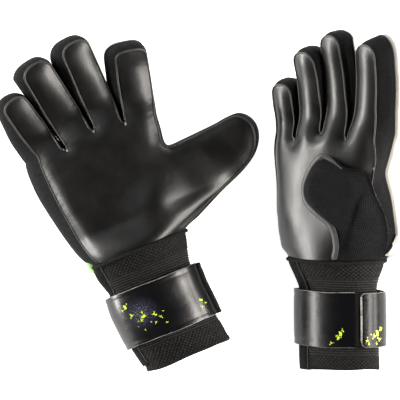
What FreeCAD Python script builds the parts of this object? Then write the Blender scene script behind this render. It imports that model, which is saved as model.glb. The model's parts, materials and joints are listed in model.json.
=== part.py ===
"""Pair of goalkeeper gloves, lying on their backs with the palms up.

Part frame: +Z up, +Y towards the fingers, origin under the middle of the pair on the resting plane.
Glove frame: origin on the cuff's axis at the wrist seam, X towards the thumb, Y towards the fingers,
Z out of the palm. Digit frame: origin at the knuckle, Y along the digit, Z out of its gripping face.
Every size is in millimetres and every angle in degrees.
"""
import FreeCAD, Part
import Sketcher
import math
import os

Vector = FreeCAD.Vector
Rotation = FreeCAD.Rotation
Placement = FreeCAD.Placement

X_AXIS = Vector(1, 0, 0)
Y_AXIS = Vector(0, 1, 0)
Z_AXIS = Vector(0, 0, 1)

GLOVES = ("open", "folded")
FINGERS = ("pinky", "ring", "middle", "index")
DIGITS = FINGERS + ("thumb",)

DIMENSIONS = {
    # layers
    "foam_wall": 5,
    "latex_wall": 4,
    "mesh_wall": 2,
    "lining_wall": 1.5,
    "lining_gap": 0.5,
    # hand: outline of the back, from the wrist round to the knuckles
    "hand_depth": 40,
    "wrist_half": 39,
    "wrist_start": 3,
    "heel_x": -47,
    "heel_y": 45,
    "pinky_edge_x": -51,
    "pinky_edge_y": 96,
    "index_edge_x": 51,
    "index_edge_y": 91,
    "palm_cutback": 9,
    "wall_cutback": 15,
    # digits: knuckle places, lengths and widths
    "finger_depth": 24,
    "thumb_depth": 24,
    "face_wall": 3,
    "back_wall": 4,
    "digit_drop": 2,
    "digit_start": 0.3,
    "pinky_x": -40,
    "pinky_y": 98,
    "pinky_length": 62,
    "pinky_root": 22.5,
    "pinky_tip": 22,
    "ring_x": -14,
    "ring_y": 103,
    "ring_length": 78,
    "ring_root": 23,
    "ring_tip": 23,
    "middle_x": 13,
    "middle_y": 105,
    "middle_length": 82,
    "middle_root": 23,
    "middle_tip": 24,
    "index_x": 39,
    "index_y": 99,
    "index_length": 78,
    "index_root": 22.5,
    "index_tip": 24,
    "thumb_length": 62,
    "thumb_root": 46,
    "thumb_tip": 29,
    # cuff: half width and half depth of each oval layer
    "bandage_x": 38.5,
    "bandage_z": 25.5,
    "bandage_wall": 2.5,
    "bandage_length": 90,
    "strip_middle": 176,
    "strip_sweep": 24,
    "binding_x": 40,
    "binding_z": 27,
    "binding_wall": 1.2,
    "binding_length": 7,
    "binding_top": 2,
    "patch_x": 39.9,
    "patch_z": 26.9,
    "patch_wall": 1.1,
    "patch_margin": 2,
    "band_x": 42,
    "band_z": 29,
    "band_wall": 2.6,
    "strap_top": -27,
    "strap_width": 46,
    "flap_x": 43.6,
    "flap_z": 30.6,
    "flap_wall": 2,
    "hook_x": 41.4,
    "hook_z": 28.4,
    "hook_wall": 0.9,
    "flap_root": -15,
    "root_gap": 3,
    # open glove: flat on its back, fingers spread, thumb out to the side
    "open_x": -49.3,
    "open_y": -41.1,
    "open_z": 29,
    "open_tilt": 22,
    "open_pitch": 0,
    "open_roll": 0,
    "open_hand_shift": 0,
    "open_hand_lift": -9,
    "open_side_low_x": 70,
    "open_side_low_y": 16,
    "open_side_high_x": 54,
    "open_side_high_y": 67,
    "open_pinky_splay": -11,
    "open_pinky_pitch": 5,
    "open_pinky_roll": 10,
    "open_ring_splay": -7,
    "open_ring_pitch": 5,
    "open_ring_roll": 10,
    "open_middle_splay": 0,
    "open_middle_pitch": 5,
    "open_middle_roll": 10,
    "open_index_splay": 15,
    "open_index_pitch": 20,
    "open_index_roll": 10,
    "open_thumb_x": 66,
    "open_thumb_y": 42,
    "open_thumb_lift": 0,
    "open_thumb_splay": 71,
    "open_thumb_pitch": 5,
    "open_thumb_roll": 0,
    "open_band_end": 22,
    "open_flap_end": 16,
    # folded glove: rolled onto its little-finger side, thumb folded across the palm
    "folded_x": 115.9,
    "folded_y": -50.1,
    "folded_z": 39.803,
    "folded_tilt": 0,
    "folded_pitch": 4,
    "folded_roll": -38,
    "folded_hand_shift": -5,
    "folded_hand_lift": 6,
    "folded_side_low_x": 52,
    "folded_side_low_y": 22,
    "folded_side_high_x": 54,
    "folded_side_high_y": 66,
    "folded_pinky_splay": -2,
    "folded_pinky_pitch": 16,
    "folded_pinky_roll": -5,
    "folded_ring_splay": -3,
    "folded_ring_pitch": 5,
    "folded_ring_roll": -5,
    "folded_middle_splay": 1,
    "folded_middle_pitch": 2,
    "folded_middle_roll": -5,
    "folded_index_splay": 9,
    "folded_index_pitch": 2,
    "folded_index_roll": -5,
    "folded_thumb_x": 49,
    "folded_thumb_y": 36,
    "folded_thumb_lift": 33.5,
    "folded_thumb_splay": -44,
    "folded_thumb_pitch": 0,
    "folded_thumb_roll": 180,
    "folded_band_end": 42,
    "folded_flap_end": 35,
}

doc = FreeCAD.newDocument("GoalkeeperGloves")
sheet = doc.addObject("Spreadsheet::Sheet", "Sizes")
for row, (alias, number) in enumerate(DIMENSIONS.items(), 1):
    sheet.set(f"A{row}", alias)
    sheet.set(f"B{row}", str(number))
    sheet.setAlias(f"B{row}", alias)
doc.recompute()

SECTOR_RADIUS = 80

nodes = {}


def size(alias):
    """A driving size, read from the sheet."""
    return float(sheet.get(alias))


def number(expression):
    """The plain number that an expression of the sheet's sizes works out to."""
    value = sheet.evalExpression(expression)
    return float(getattr(value, "Value", value))


def keep(label, piece, placement):
    """Register one finished sub-part under its own label, at its own place."""
    piece.Label = label
    piece.Placement = placement
    nodes[label] = piece


# ---------------------------------------------------------------- frames

def glove_frame(glove):
    """Where a glove's own frame sits in the pair."""
    place = Placement(Vector(size(f"{glove}_x"), size(f"{glove}_y"), size(f"{glove}_z")), Rotation())
    for axis, turn in ((Z_AXIS, "tilt"), (X_AXIS, "pitch"), (Y_AXIS, "roll")):
        place = place * Placement(Vector(), Rotation(axis, size(f"{glove}_{turn}")))
    return place


def hand_frame(glove):
    """The hand's mid-plane, which stands off the cuff's axis."""
    offset = Vector(size(f"{glove}_hand_shift"), 0, size(f"{glove}_hand_lift"))
    return glove_frame(glove) * Placement(offset, Rotation())


def digit_frame(glove, digit):
    """Knuckle frame of one digit: it flexes about its own X axis."""
    if digit == "thumb":
        knuckle = Vector(size(f"{glove}_thumb_x"), size(f"{glove}_thumb_y"), size(f"{glove}_thumb_lift"))
    else:
        knuckle = Vector(size(f"{digit}_x"), size(f"{digit}_y"), -size("digit_drop"))
    place = hand_frame(glove) * Placement(knuckle, Rotation(Z_AXIS, -size(f"{glove}_{digit}_splay")))
    for axis, turn in ((X_AXIS, "pitch"), (Y_AXIS, "roll")):
        place = place * Placement(Vector(), Rotation(axis, size(f"{glove}_{digit}_{turn}")))
    return place


def lifted(frame, height):
    """The same frame, moved along its own Z."""
    return frame * Placement(Vector(0, 0, height), Rotation())


# ---------------------------------------------------------------- plates and walls from outlines

def add_line(sketch, start, end):
    """A straight side of an outline."""
    return sketch.addGeometry(Part.LineSegment(start, end), False)


def add_tip(sketch, start, end, centre, radius):
    """A half-circle end of an outline. Arcs run anticlockwise, so its first end is the right-hand one."""
    circle = Part.Circle(centre, Z_AXIS, radius)
    return sketch.addGeometry(Part.ArcOfCircle(circle, 0, math.pi), False)


def pin(sketch, geometry, end, across, along):
    """Hold one point of a sketch at two distances that follow the sheet."""
    for kind, expression in (("DistanceX", across), ("DistanceY", along)):
        if not expression:
            continue
        value = number(expression)
        index = sketch.addConstraint(Sketcher.Constraint(kind, -1, 1, geometry, end, value))
        name = f"{kind}_{geometry}_{end}"
        sketch.renameConstraint(index, name)
        sketch.setExpression(f"Constraints.{name}", expression)


def draw_outline(sketch, corners, tips):
    """A closed outline through the corners. A side that starts at a corner named in tips is a half circle
    about that tip's centre; every other side is straight."""
    places = [Vector(number(across), number(along), 0) for across, along in corners]
    sides = []
    for index, start in enumerate(places):
        end = places[(index + 1) % len(places)]
        if index in tips:
            centre = Vector(0, number(tips[index]), 0)
            geometry = add_tip(sketch, start, end, centre, abs(start.x))
            ends = (1, 2) if start.x > end.x else (2, 1)
        else:
            geometry = add_line(sketch, start, end)
            ends = (1, 2)
        sides.append((geometry, ends))
    for index, (geometry, ends) in enumerate(sides):
        following, following_ends = sides[(index + 1) % len(sides)]
        sketch.addConstraint(Sketcher.Constraint("Coincident", geometry, ends[1], following, following_ends[0]))
        if index in tips:
            pin(sketch, geometry, 3, None, tips[index])
        pin(sketch, geometry, ends[0], *corners[index])


def outline_solid(label, corners, thickness, frame, tips=None):
    """A flat piece: one sketched outline, padded along the frame's Z."""
    body = doc.addObject("PartDesign::Body", f"{label}_body")
    sketch = body.newObject("Sketcher::SketchObject", f"{label}_outline")
    plane = [feature for feature in body.Origin.OriginFeatures if feature.Role == "XY_Plane"][0]
    sketch.AttachmentSupport = [(plane, "")]
    sketch.MapMode = "FlatFace"
    draw_outline(sketch, corners, tips or {})
    pad = body.newObject("PartDesign::Pad", f"{label}_pad")
    pad.Profile = sketch
    pad.setExpression("Length", thickness)
    sketch.Visibility = False
    keep(label, body, frame)


def behind(glove, side, distance):
    """A corner of the thumb's root line, moved back along the thumb by a distance."""
    splay = f"Sizes.{glove}_thumb_splay * 1deg"
    return (f"Sizes.{glove}_side_{side}_x - sin({splay}) * {distance}",
            f"Sizes.{glove}_side_{side}_y - cos({splay}) * {distance}")


# ---------------------------------------------------------------- hand

def back_corners(glove):
    """Outline of the back of the hand: wrist, outer edge, knuckle line, thumb root, wrist."""
    root = "Sizes.digit_start - 0.8"
    return [
        ("-Sizes.wrist_half", "Sizes.wrist_start"),
        ("Sizes.heel_x", "Sizes.heel_y"),
        ("Sizes.pinky_edge_x", f"Sizes.pinky_edge_y + {root}"),
        ("(Sizes.pinky_x + Sizes.ring_x) / 2", f"Sizes.pinky_y + {root}"),
        ("(Sizes.ring_x + Sizes.middle_x) / 2", f"Sizes.ring_y + {root}"),
        ("(Sizes.middle_x + Sizes.index_x) / 2", f"Sizes.index_y + {root}"),
        ("Sizes.index_edge_x", f"Sizes.index_edge_y + {root}"),
        (f"Sizes.{glove}_side_high_x - 1", f"Sizes.{glove}_side_high_y"),
        (f"Sizes.{glove}_side_low_x - 1", f"Sizes.{glove}_side_low_y"),
        ("Sizes.wrist_half", "Sizes.wrist_start"),
    ]


def palm_corners(glove):
    """Outline of the palm, cut back so that the digits can fold over its edge."""
    cut = "Sizes.palm_cutback"
    thumb_cut = cut if glove == "open" else "0"
    return [
        ("-Sizes.wrist_half", "Sizes.wrist_start"),
        ("Sizes.heel_x", "Sizes.heel_y"),
        ("Sizes.pinky_edge_x + 2", f"Sizes.pinky_edge_y - {cut}"),
        ("(Sizes.pinky_x + Sizes.ring_x) / 2", f"Sizes.pinky_y - {cut}"),
        ("(Sizes.ring_x + Sizes.middle_x) / 2", f"Sizes.ring_y - {cut}"),
        ("(Sizes.middle_x + Sizes.index_x) / 2", f"Sizes.index_y - {cut}"),
        ("Sizes.index_edge_x - 2", f"Sizes.index_edge_y - {cut}"),
        behind(glove, "high", thumb_cut),
        behind(glove, "low", thumb_cut),
        ("Sizes.wrist_half", "Sizes.wrist_start"),
    ]


def wall_corners(start, end):
    """A thin upright wall, as thick as the mesh, standing outside the line between two places."""
    (start_x, start_y), (end_x, end_y) = start, end
    run_x = f"({end_x} - ({start_x}))"
    run_y = f"({end_y} - ({start_y}))"
    run = f"sqrt({run_x} ^ 2 + {run_y} ^ 2)"
    step_x = f"Sizes.mesh_wall * {run_y} / {run}"
    step_y = f"-Sizes.mesh_wall * {run_x} / {run}"
    return [
        start,
        end,
        (f"{end_x} + {step_x}", f"{end_y} + {step_y}"),
        (f"{start_x} + {step_x}", f"{start_y} + {step_y}"),
    ]


WALL_HEIGHT = "Sizes.hand_depth - Sizes.foam_wall - Sizes.latex_wall"


def build_hand(glove):
    """Foam back, latex palm, the mesh walls between them and the lining inside."""
    frame = hand_frame(glove)
    back = -size("hand_depth") / 2
    inside = back + size("foam_wall")
    outline_solid(f"{glove}_backhand_panel", back_corners(glove), "Sizes.foam_wall", lifted(frame, back))
    outline_solid(f"{glove}_palm_panel", palm_corners(glove), "Sizes.latex_wall",
                  lifted(frame, -back - size("latex_wall")))

    inset = "Sizes.mesh_wall"
    edge_top = "Sizes.pinky_edge_y - Sizes.wall_cutback"
    edge = [("-Sizes.wrist_half", "Sizes.wrist_start"),
            ("Sizes.heel_x", "Sizes.heel_y"),
            ("Sizes.pinky_edge_x + 2", edge_top)]
    inner_edge = [(f"{across} + {inset}", along) for across, along in edge]
    outline_solid(f"{glove}_outer_edge_gusset", edge + inner_edge[::-1], WALL_HEIGHT, lifted(frame, inside))
    wall_cut = "Sizes.wall_cutback" if glove == "open" else "3"
    low_end = behind(glove, "low", wall_cut)
    outline_solid(f"{glove}_thumb_side_gusset",
                  wall_corners((f"Sizes.wrist_half - {inset}", f"Sizes.wrist_start + {inset}"), low_end),
                  WALL_HEIGHT, lifted(frame, inside))
    web_start = ("Sizes.index_edge_x - 5", f"Sizes.{glove}_side_high_y + 4")
    web_end = ("Sizes.index_edge_x - 4", "Sizes.index_edge_y - Sizes.wall_cutback + 6")
    outline_solid(f"{glove}_thumb_web", wall_corners(web_start, web_end), WALL_HEIGHT, lifted(frame, inside))
    build_lining(glove, lifted(frame, inside))


def build_lining(glove, frame):
    """A towelling sleeve inside the hand, open at the wrist and at the knuckles."""
    outer = doc.addObject("Part::Box", f"{glove}_lining_outer")
    inner = doc.addObject("Part::Box", f"{glove}_lining_inner")
    half = "(Sizes.wrist_half - Sizes.mesh_wall - Sizes.lining_gap)"
    deep = f"({WALL_HEIGHT} - Sizes.lining_gap * 2)"
    run = "(Sizes.pinky_edge_y - Sizes.wall_cutback - Sizes.wrist_start)"
    outer.setExpression("Length", f"{half} * 2")
    outer.setExpression("Width", run)
    outer.setExpression("Height", deep)
    inner.setExpression("Length", f"({half} - Sizes.lining_wall) * 2")
    inner.setExpression("Width", f"{run} * 2")
    inner.setExpression("Height", f"{deep} - Sizes.lining_wall * 2")
    inner.Placement = Placement(Vector(size("lining_wall"), -10, size("lining_wall")), Rotation())
    sleeve = doc.addObject("Part::Cut", f"{glove}_lining_sleeve")
    sleeve.Base = outer
    sleeve.Tool = inner
    corner = Vector(-number(half), size("wrist_start"), size("lining_gap"))
    keep(f"{glove}_lining", sleeve, frame * Placement(corner, Rotation()))


# ---------------------------------------------------------------- digits

def digit_corners(digit, wall):
    """Half-round ended outline of a digit, drawn in by a wall, with the number of its rounded side."""
    root = f"(Sizes.{digit}_root / 2 - {wall})"
    tip = f"(Sizes.{digit}_tip / 2 - {wall})"
    turn = f"Sizes.{digit}_length - Sizes.{digit}_tip / 2"
    return [
        (f"-{root}", "Sizes.digit_start"),
        (f"-{tip}", turn),
        (tip, turn),
        (root, "Sizes.digit_start"),
    ], turn


def build_digit(glove, digit):
    """Latex face, foam back and the mesh strip that runs round between them."""
    frame = digit_frame(glove, digit)
    depth = "thumb_depth" if digit == "thumb" else "finger_depth"
    half = size(depth) / 2
    outer, turn = digit_corners(digit, "0")
    inner = digit_corners(digit, "Sizes.mesh_wall")[0]
    outline_solid(f"{glove}_{digit}_face", outer, "Sizes.face_wall",
                  lifted(frame, half - size("face_wall")), {1: turn})
    outline_solid(f"{glove}_{digit}_back", outer, "Sizes.back_wall", lifted(frame, -half), {1: turn})
    outline_solid(f"{glove}_{digit}_gusset", outer + inner[::-1],
                  f"Sizes.{depth} - Sizes.face_wall - Sizes.back_wall",
                  lifted(frame, size("back_wall") - half), {1: turn, 5: turn})


# ---------------------------------------------------------------- cuff and strap

def oval_rod(name, half_x, half_z, length):
    """A solid oval rod, its long axis of the oval along X."""
    oval = doc.addObject("Part::Ellipse", f"{name}_oval")
    oval.setExpression("MajorRadius", half_x)
    oval.setExpression("MinorRadius", half_z)
    rod = doc.addObject("Part::Extrusion", f"{name}_rod")
    rod.Base = oval
    rod.DirMode = "Custom"
    rod.Dir = Z_AXIS
    rod.Solid = True
    rod.setExpression("LengthFwd", length)
    return rod


def oval_shell(label, layer, wall, length, top, sector, frame):
    """Part of an oval tube round the cuff's axis. The sector is a start and a sweep, measured from the
    thumb side towards the palm; the tube hangs down the cuff from its top."""
    outer = oval_rod(f"{label}_outer", f"Sizes.{layer}_x", f"Sizes.{layer}_z", length)
    inner = oval_rod(f"{label}_inner", f"Sizes.{layer}_x - {wall}", f"Sizes.{layer}_z - {wall}", length)
    shell = doc.addObject("Part::Cut", f"{label}_tube")
    shell.Base = outer
    shell.Tool = inner
    if sector:
        start, sweep = sector
        wedge = doc.addObject("Part::Cylinder", f"{label}_sector")
        wedge.Radius = SECTOR_RADIUS
        wedge.setExpression("Height", length)
        wedge.setExpression("Angle", sweep)
        wedge.Placement = Placement(Vector(), Rotation(Z_AXIS, number(start)))
        tube = shell
        shell = doc.addObject("Part::Common", f"{label}_part")
        shell.Base = tube
        shell.Tool = wedge
    stand = Placement(Vector(0, number(top), 0), Rotation(X_AXIS, 90))
    keep(label, shell, frame * stand)


def build_cuff(glove):
    """Knitted wrist bandage with its side strip, the seam binding and the wrap-round strap."""
    frame = glove_frame(glove)
    strip_start = "Sizes.strip_middle - Sizes.strip_sweep / 2"
    strap = ("Sizes.strap_width", "Sizes.strap_top")
    patch = ("Sizes.strap_width - Sizes.patch_margin * 2", "Sizes.strap_top - Sizes.patch_margin")
    band_end = f"Sizes.{glove}_band_end"
    root = "Sizes.flap_root"
    oval_shell(f"{glove}_wrist_bandage", "bandage", "Sizes.bandage_wall", "Sizes.bandage_length", "0",
               (f"{strip_start} + Sizes.strip_sweep", "360 - Sizes.strip_sweep"), frame)
    oval_shell(f"{glove}_cuff_side_strip", "bandage", "Sizes.bandage_wall", "Sizes.bandage_length", "0",
               (strip_start, "Sizes.strip_sweep"), frame)
    oval_shell(f"{glove}_wrist_binding", "binding", "Sizes.binding_wall", "Sizes.binding_length",
               "Sizes.binding_top", None, frame)
    oval_shell(f"{glove}_loop_patch", "patch", "Sizes.patch_wall", *patch,
               (root, f"{band_end} - {root} - 1"), frame)
    oval_shell(f"{glove}_strap_band", "band", "Sizes.band_wall", *strap,
               (band_end, f"360 + {root} - Sizes.root_gap - {band_end}"), frame)
    oval_shell(f"{glove}_strap_flap", "flap", "Sizes.flap_wall", *strap,
               (root, f"Sizes.{glove}_flap_end - {root}"), frame)
    oval_shell(f"{glove}_hook_patch", "hook", "Sizes.hook_wall", *patch,
               (f"{root} + Sizes.root_gap", f"Sizes.{glove}_flap_end - {root} - Sizes.root_gap * 2"), frame)


# ---------------------------------------------------------------- build, check and write

def build():
    """Both gloves, piece by piece."""
    for glove in GLOVES:
        build_hand(glove)
        build_cuff(glove)
        for digit in DIGITS:
            build_digit(glove, digit)
    doc.recompute()


def check():
    """Stop if any object failed or any sub-part isn't a valid solid."""
    failed = [item.Name for item in doc.Objects if "Invalid" in item.State or "Error" in item.State]
    if failed:
        raise RuntimeError(f"failed objects: {failed}")
    for label, piece in nodes.items():
        shape = piece.Shape
        if shape.isNull() or not shape.isValid() or not shape.Solids:
            raise RuntimeError(f"{label} is not a valid solid")


def write():
    """One STEP file for each sub-part."""
    os.makedirs("parts", exist_ok=True)
    for label, piece in nodes.items():
        piece.Shape.exportStep(f"parts/{label}.step")


build()
check()
write()

whole = FreeCAD.BoundBox()
for piece in nodes.values():
    whole.add(piece.Shape.BoundBox)
print(len(nodes), "sub-parts")
print("box", whole)
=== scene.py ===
"""Looks of the pair of goalkeeper gloves: two hand-filled gloves lying with their palms up.

Work is done per glove in its hand frame, in millimetres: X towards the thumb, Y towards the fingers, Z out
of the palm, with the origin at the wrist seam on the hand's mid-plane. Every piece is then moved to the row.
"""
import json
import math

import bmesh
import bpy
import numpy as np
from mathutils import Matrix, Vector, noise
from mathutils.geometry import delaunay_2d_cdt


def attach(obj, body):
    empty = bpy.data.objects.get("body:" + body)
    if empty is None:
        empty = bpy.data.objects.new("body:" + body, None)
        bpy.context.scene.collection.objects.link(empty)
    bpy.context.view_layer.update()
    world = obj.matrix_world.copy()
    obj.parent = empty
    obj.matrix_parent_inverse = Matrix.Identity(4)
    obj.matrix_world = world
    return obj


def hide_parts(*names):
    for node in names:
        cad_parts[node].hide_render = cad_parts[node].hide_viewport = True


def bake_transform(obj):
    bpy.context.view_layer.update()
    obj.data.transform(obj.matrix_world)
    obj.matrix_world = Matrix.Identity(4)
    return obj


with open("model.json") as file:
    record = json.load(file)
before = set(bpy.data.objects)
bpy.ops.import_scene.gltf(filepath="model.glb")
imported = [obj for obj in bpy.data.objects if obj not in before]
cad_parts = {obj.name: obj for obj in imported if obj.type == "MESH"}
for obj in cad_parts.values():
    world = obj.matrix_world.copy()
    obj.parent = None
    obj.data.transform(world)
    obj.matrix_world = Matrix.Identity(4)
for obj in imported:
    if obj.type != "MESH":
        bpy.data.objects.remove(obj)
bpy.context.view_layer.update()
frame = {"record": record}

MM = 0.001
SPACING = 1.6
FINGERS = ("pinky", "ring", "middle", "index")
THUMB = "thumb"
DIGITS = (*FINGERS, THUMB)
HAND = "hand"

# The cloth map's unit is 100 mm.
CLOTH_SCALE = 0.01

# How far every piece stays above the surface that the gloves lie on, in metres.
FLOOR_GAP = 0.0001

# ------------------------------------------------------------------ sizes

# Ovals are given by their half width and half height, and places round the cuff by their angle from its
# thumb side in degrees. The strap's band runs from each glove's band_end on round to BAND_ROOT.
CUFF_LENGTH = 90
BANDAGE = (38.5, 25.5)
STRAP = (42.0, 29.0)
FLAP = (41.6, 28.6)
STRAP_TOP = -25.5
STRAP_WIDTH = 46
STRAP_THICK = 2.4
BAND_ROOT = 342
FLAP_ROOT = -24
FLAP_BEND = (-23, -6)
FLAP_CORNER = 7.0
LOOP_START = -16
HOOK_START = -8

# Digits: two distances from its knuckle at which follow() works out points that go unused, how far across it
# its points reach, and over what width the open thumb's pose fades into the palm.
KNUCKLE_BEND = (2.5, 30)
FINGER_REACH = 34
THUMB_REACH = 45
THUMB_FADE = 26

# Gripping face of each finger: width at the knuckle, width near the tip, length.
FACES = {
    "pinky": (19.5, 17.0, 62),
    "ring": (24.0, 21.5, 78),
    "middle": (21.5, 20.5, 82),
    "index": (24.5, 22.0, 78),
}

# The bottoms of the gaps between the fingers, how far round them the palm is levelled and by how much, and
# the room that is kept between two fingers' mesh strips.
CROTCHES = ((-27, 99), (0, 105.5), (26, 101.5))
CROTCH_REACH = 12.0
CROTCH_LIFT = 4.0
CROTCH_LEVEL = 0.8
GAP_ROOM = 0.25

# How each glove lies and is shaped, in its hand frame. Angles are in degrees and sizes in millimetres.
# turns: the hand about Z, X and Y. shift and lift: of its hand frame off the CAD wrist. splay, pitch, roll
# and curl: of each digit. longer, wider and square: how its faces differ from FACES. outer_edge and
# thumb_edge: the palm's outline beside the fingers. The spreads: how far the back seam stands outside the
# front one. lean: of the cuff, by the place along it. ball: the place, width and height of the thumb's ball.
# cuff_reach: how far up the palm the cuff's shape lasts. strip_span: the edges of the cuff's dark strip.
GLOVES = {
    "open": {
        "turns": (22, 0, 0), "shift": 0, "lift": -9, "cuff_longer": 7.5, "wrist_flare": (1.04, 1.04),
        "lean": ((-96, 4.6), (-76, 0.8), (-45, -1.8), (0, 0)), "cuff_shift": -1.2,
        "splay": {"pinky": -13.5, "ring": -9.5, "middle": -1.5, "index": 14, "thumb": 72},
        "pitch": {"pinky": 6, "ring": 5, "middle": 5, "index": 10, "thumb": 5},
        "roll": {"pinky": 8, "ring": 7, "middle": 11, "index": 11, "thumb": 0},
        "curl": {"pinky": 9, "ring": 9, "middle": 11, "index": 20, "thumb": 8},
        "longer": {"pinky": -1, "ring": -1.2, "index": -9.5, "middle": -2.5}, "square": {"index": 0.16},
        "outer_edge": ((-37, 1), (-41.5, 10), (-46, 29), (-50, 62), (-51.5, 88)),
        "wider": {"pinky": 4, "ring": 3.3, "middle": 3.6, "index": 4},
        "thumb_edge": ((49.8, 86), (48.6, 74), (53, 68.5), (66, 69), (82, 70), (96, 71), (107, 72.5),
                       (117, 72), (124, 65), (125.5, 56), (122, 46), (114.5, 37.5), (101, 29.5), (80, 21),
                       (63, 13.5), (47, 6), (37, 1)),
        "thumb_from": 52,
        "outer_spread": ((0, 4), (12, 7.5), (40, 10), (75, 13), (98, 12.5), (120, 8), (150, 3)),
        "inner_spread": ((0, 1.5), (95, 1.5)), "inner_side": 1.0,
        "finger_spread": {"ring": 7.5, "middle": 7.5, "index": 6},
        "tip_spread": 1.6, "dome": 2.5, "thumb_spread": 0.8, "foam_out": -1.5,
        "cuff_reach": 28, "palm_crown": (8.5, 19.0), "front_seam": {HAND: 12.5, "digit": 7.5},
        "thenar_rise": 0, "ball": (25, 28, 22, 10.0), "band_end": 22, "flap_end": 16,
        "flap_looks": ("tab_tape", "loop_pile"), "strip_span": (152, 192), "strip_heel": 1.4,
    },
    "folded": {
        "turns": (0, 4, -38), "shift": -5, "lift": 6, "cuff_longer": 0, "wrist_flare": (1.1, 1.28),
        "lean": ((-92, 3), (-30, 2.4), (0, -0.4)), "cuff_shift": -3,
        "splay": {"pinky": -1.8, "ring": -1.8, "middle": -2.8, "index": 5, "thumb": -44},
        "pitch": {"pinky": 9, "ring": 7, "middle": 3, "index": 2, "thumb": 0},
        "roll": {"pinky": -5, "ring": -6, "middle": -8, "index": -10, "thumb": 0},
        "curl": {"pinky": 7, "ring": 7, "middle": 6, "index": 6, "thumb": 0},
        "longer": {"pinky": -14, "ring": -6, "middle": 1, "index": 4}, "square": {},
        "outer_edge": ((-41, 1), (-50, 8), (-51, 22), (-49, 40), (-49, 62), (-51.5, 88)),
        "wider": {"pinky": 2.5},
        "thumb_edge": ((52.5, 86), (50, 70), (48, 52), (44, 34), (38, 15), (34, 1)),
        "thumb_from": None,
        "outer_spread": ((0, 3), (150, 3)),
        "inner_spread": ((0, 8), (12, 12.5), (30, 13.5), (45, 9), (58, 3), (72, -4), (88, -1), (104, 6),
                         (125, 9), (165, 9)),
        "finger_spread": {"ring": 1, "middle": 1, "index": 1}, "inner_side": 6,
        "tip_spread": 2.0, "dome": 6.0, "thumb_spread": 0, "foam_out": 3.0,
        "cuff_reach": 46, "palm_crown": (12.0, 18.0), "front_seam": {HAND: 9.0, "digit": 5.0},
        "thenar_rise": 2, "ball": (30, 30, 20, 2.0), "band_end": 42, "flap_end": 35,
        "flap_looks": ("folded_coated", "cut_edge"), "strip_span": (116, 156), "strip_heel": 0,
    },
}

BACK_CROWN = (8.0, 18.0)
BACK_SEAM = {HAND: -11.0, "digit": -8.5}
GUSSET_BULGE = 1.6
FOAM_SIDE = 3.2

# The outlines' points below this give the hand's width next to the cuff.
CUFF_EDGES = 46


# ------------------------------------------------------------------ small maths

def smooth(value, low, high):
    """0 below low, 1 above high, and an even change between them."""
    t = np.clip((np.asarray(value, float) - low) / (high - low), 0, 1)
    return t * t * (3 - 2 * t)


def turn(axis, degrees):
    """Rotation matrix about X, Y or Z."""
    angle = math.radians(degrees)
    c, s = math.cos(angle), math.sin(angle)
    return np.array({
        "x": ((1, 0, 0), (0, c, -s), (0, s, c)),
        "y": ((c, 0, s), (0, 1, 0), (-s, 0, c)),
        "z": ((c, -s, 0), (s, c, 0), (0, 0, 1)),
    }[axis], float)


def spline(points, spacing, closed=False):
    """A smooth curve through the points, sampled at an even spacing."""
    pts = np.array(points, float)
    count = len(pts)
    dense = []
    for i in range(count if closed else count - 1):
        quad = [pts[(i + k) % count] if closed else pts[min(max(i + k, 0), count - 1)] for k in (-1, 0, 1, 2)]
        for t in np.linspace(0, 1, 24, endpoint=False):
            a, b, c, d = quad
            dense.append(0.5 * (2 * b + (c - a) * t + (2 * a - 5 * b + 4 * c - d) * t ** 2
                                + (3 * b - a - 3 * c + d) * t ** 3))
    dense.append(pts[0] if closed else pts[-1])
    return resample(np.array(dense), spacing, closed)


def distance_along(line):
    """Distance of each point of a line from its start."""
    return np.concatenate(([0], np.cumsum(np.linalg.norm(np.diff(line, axis=0), axis=1))))


def resample(line, spacing, closed=False):
    """The same line with evenly spaced points."""
    along = distance_along(line)
    number = max(3, int(round(along[-1] / spacing)))
    marks = np.linspace(0, along[-1], number + 1)
    if closed:
        marks = marks[:-1]
    return np.column_stack([np.interp(marks, along, line[:, k]) for k in range(line.shape[1])])


def inside_polygon(points, polygon):
    """Even-odd test of many points against one polygon."""
    x, y = points[:, 0][:, None], points[:, 1][:, None]
    x0, y0 = polygon[:, 0][None], polygon[:, 1][None]
    x1, y1 = np.roll(x0, -1), np.roll(y0, -1)
    crosses = ((y0 > y) != (y1 > y)) & (x < (x1 - x0) * (y - y0) / np.where(y1 == y0, 1e-9, y1 - y0) + x0)
    return crosses.sum(axis=1) % 2 == 1


def ripple(points, scale, seed):
    """Slow random waves over points, from -1 to 1, the same on every run."""
    return np.array([noise.noise(Vector((p[0] / scale + seed, p[1] / scale, seed * 1.7))) for p in points])


# ------------------------------------------------------------------ frames of the gloves, hands and digits

JOINTS = {joint["name"]: joint for joint in frame["record"]["behaviour"]["joints"]}
MOUNTS = {mount["name"]: mount for mount in frame["record"]["mounts"]}


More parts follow.
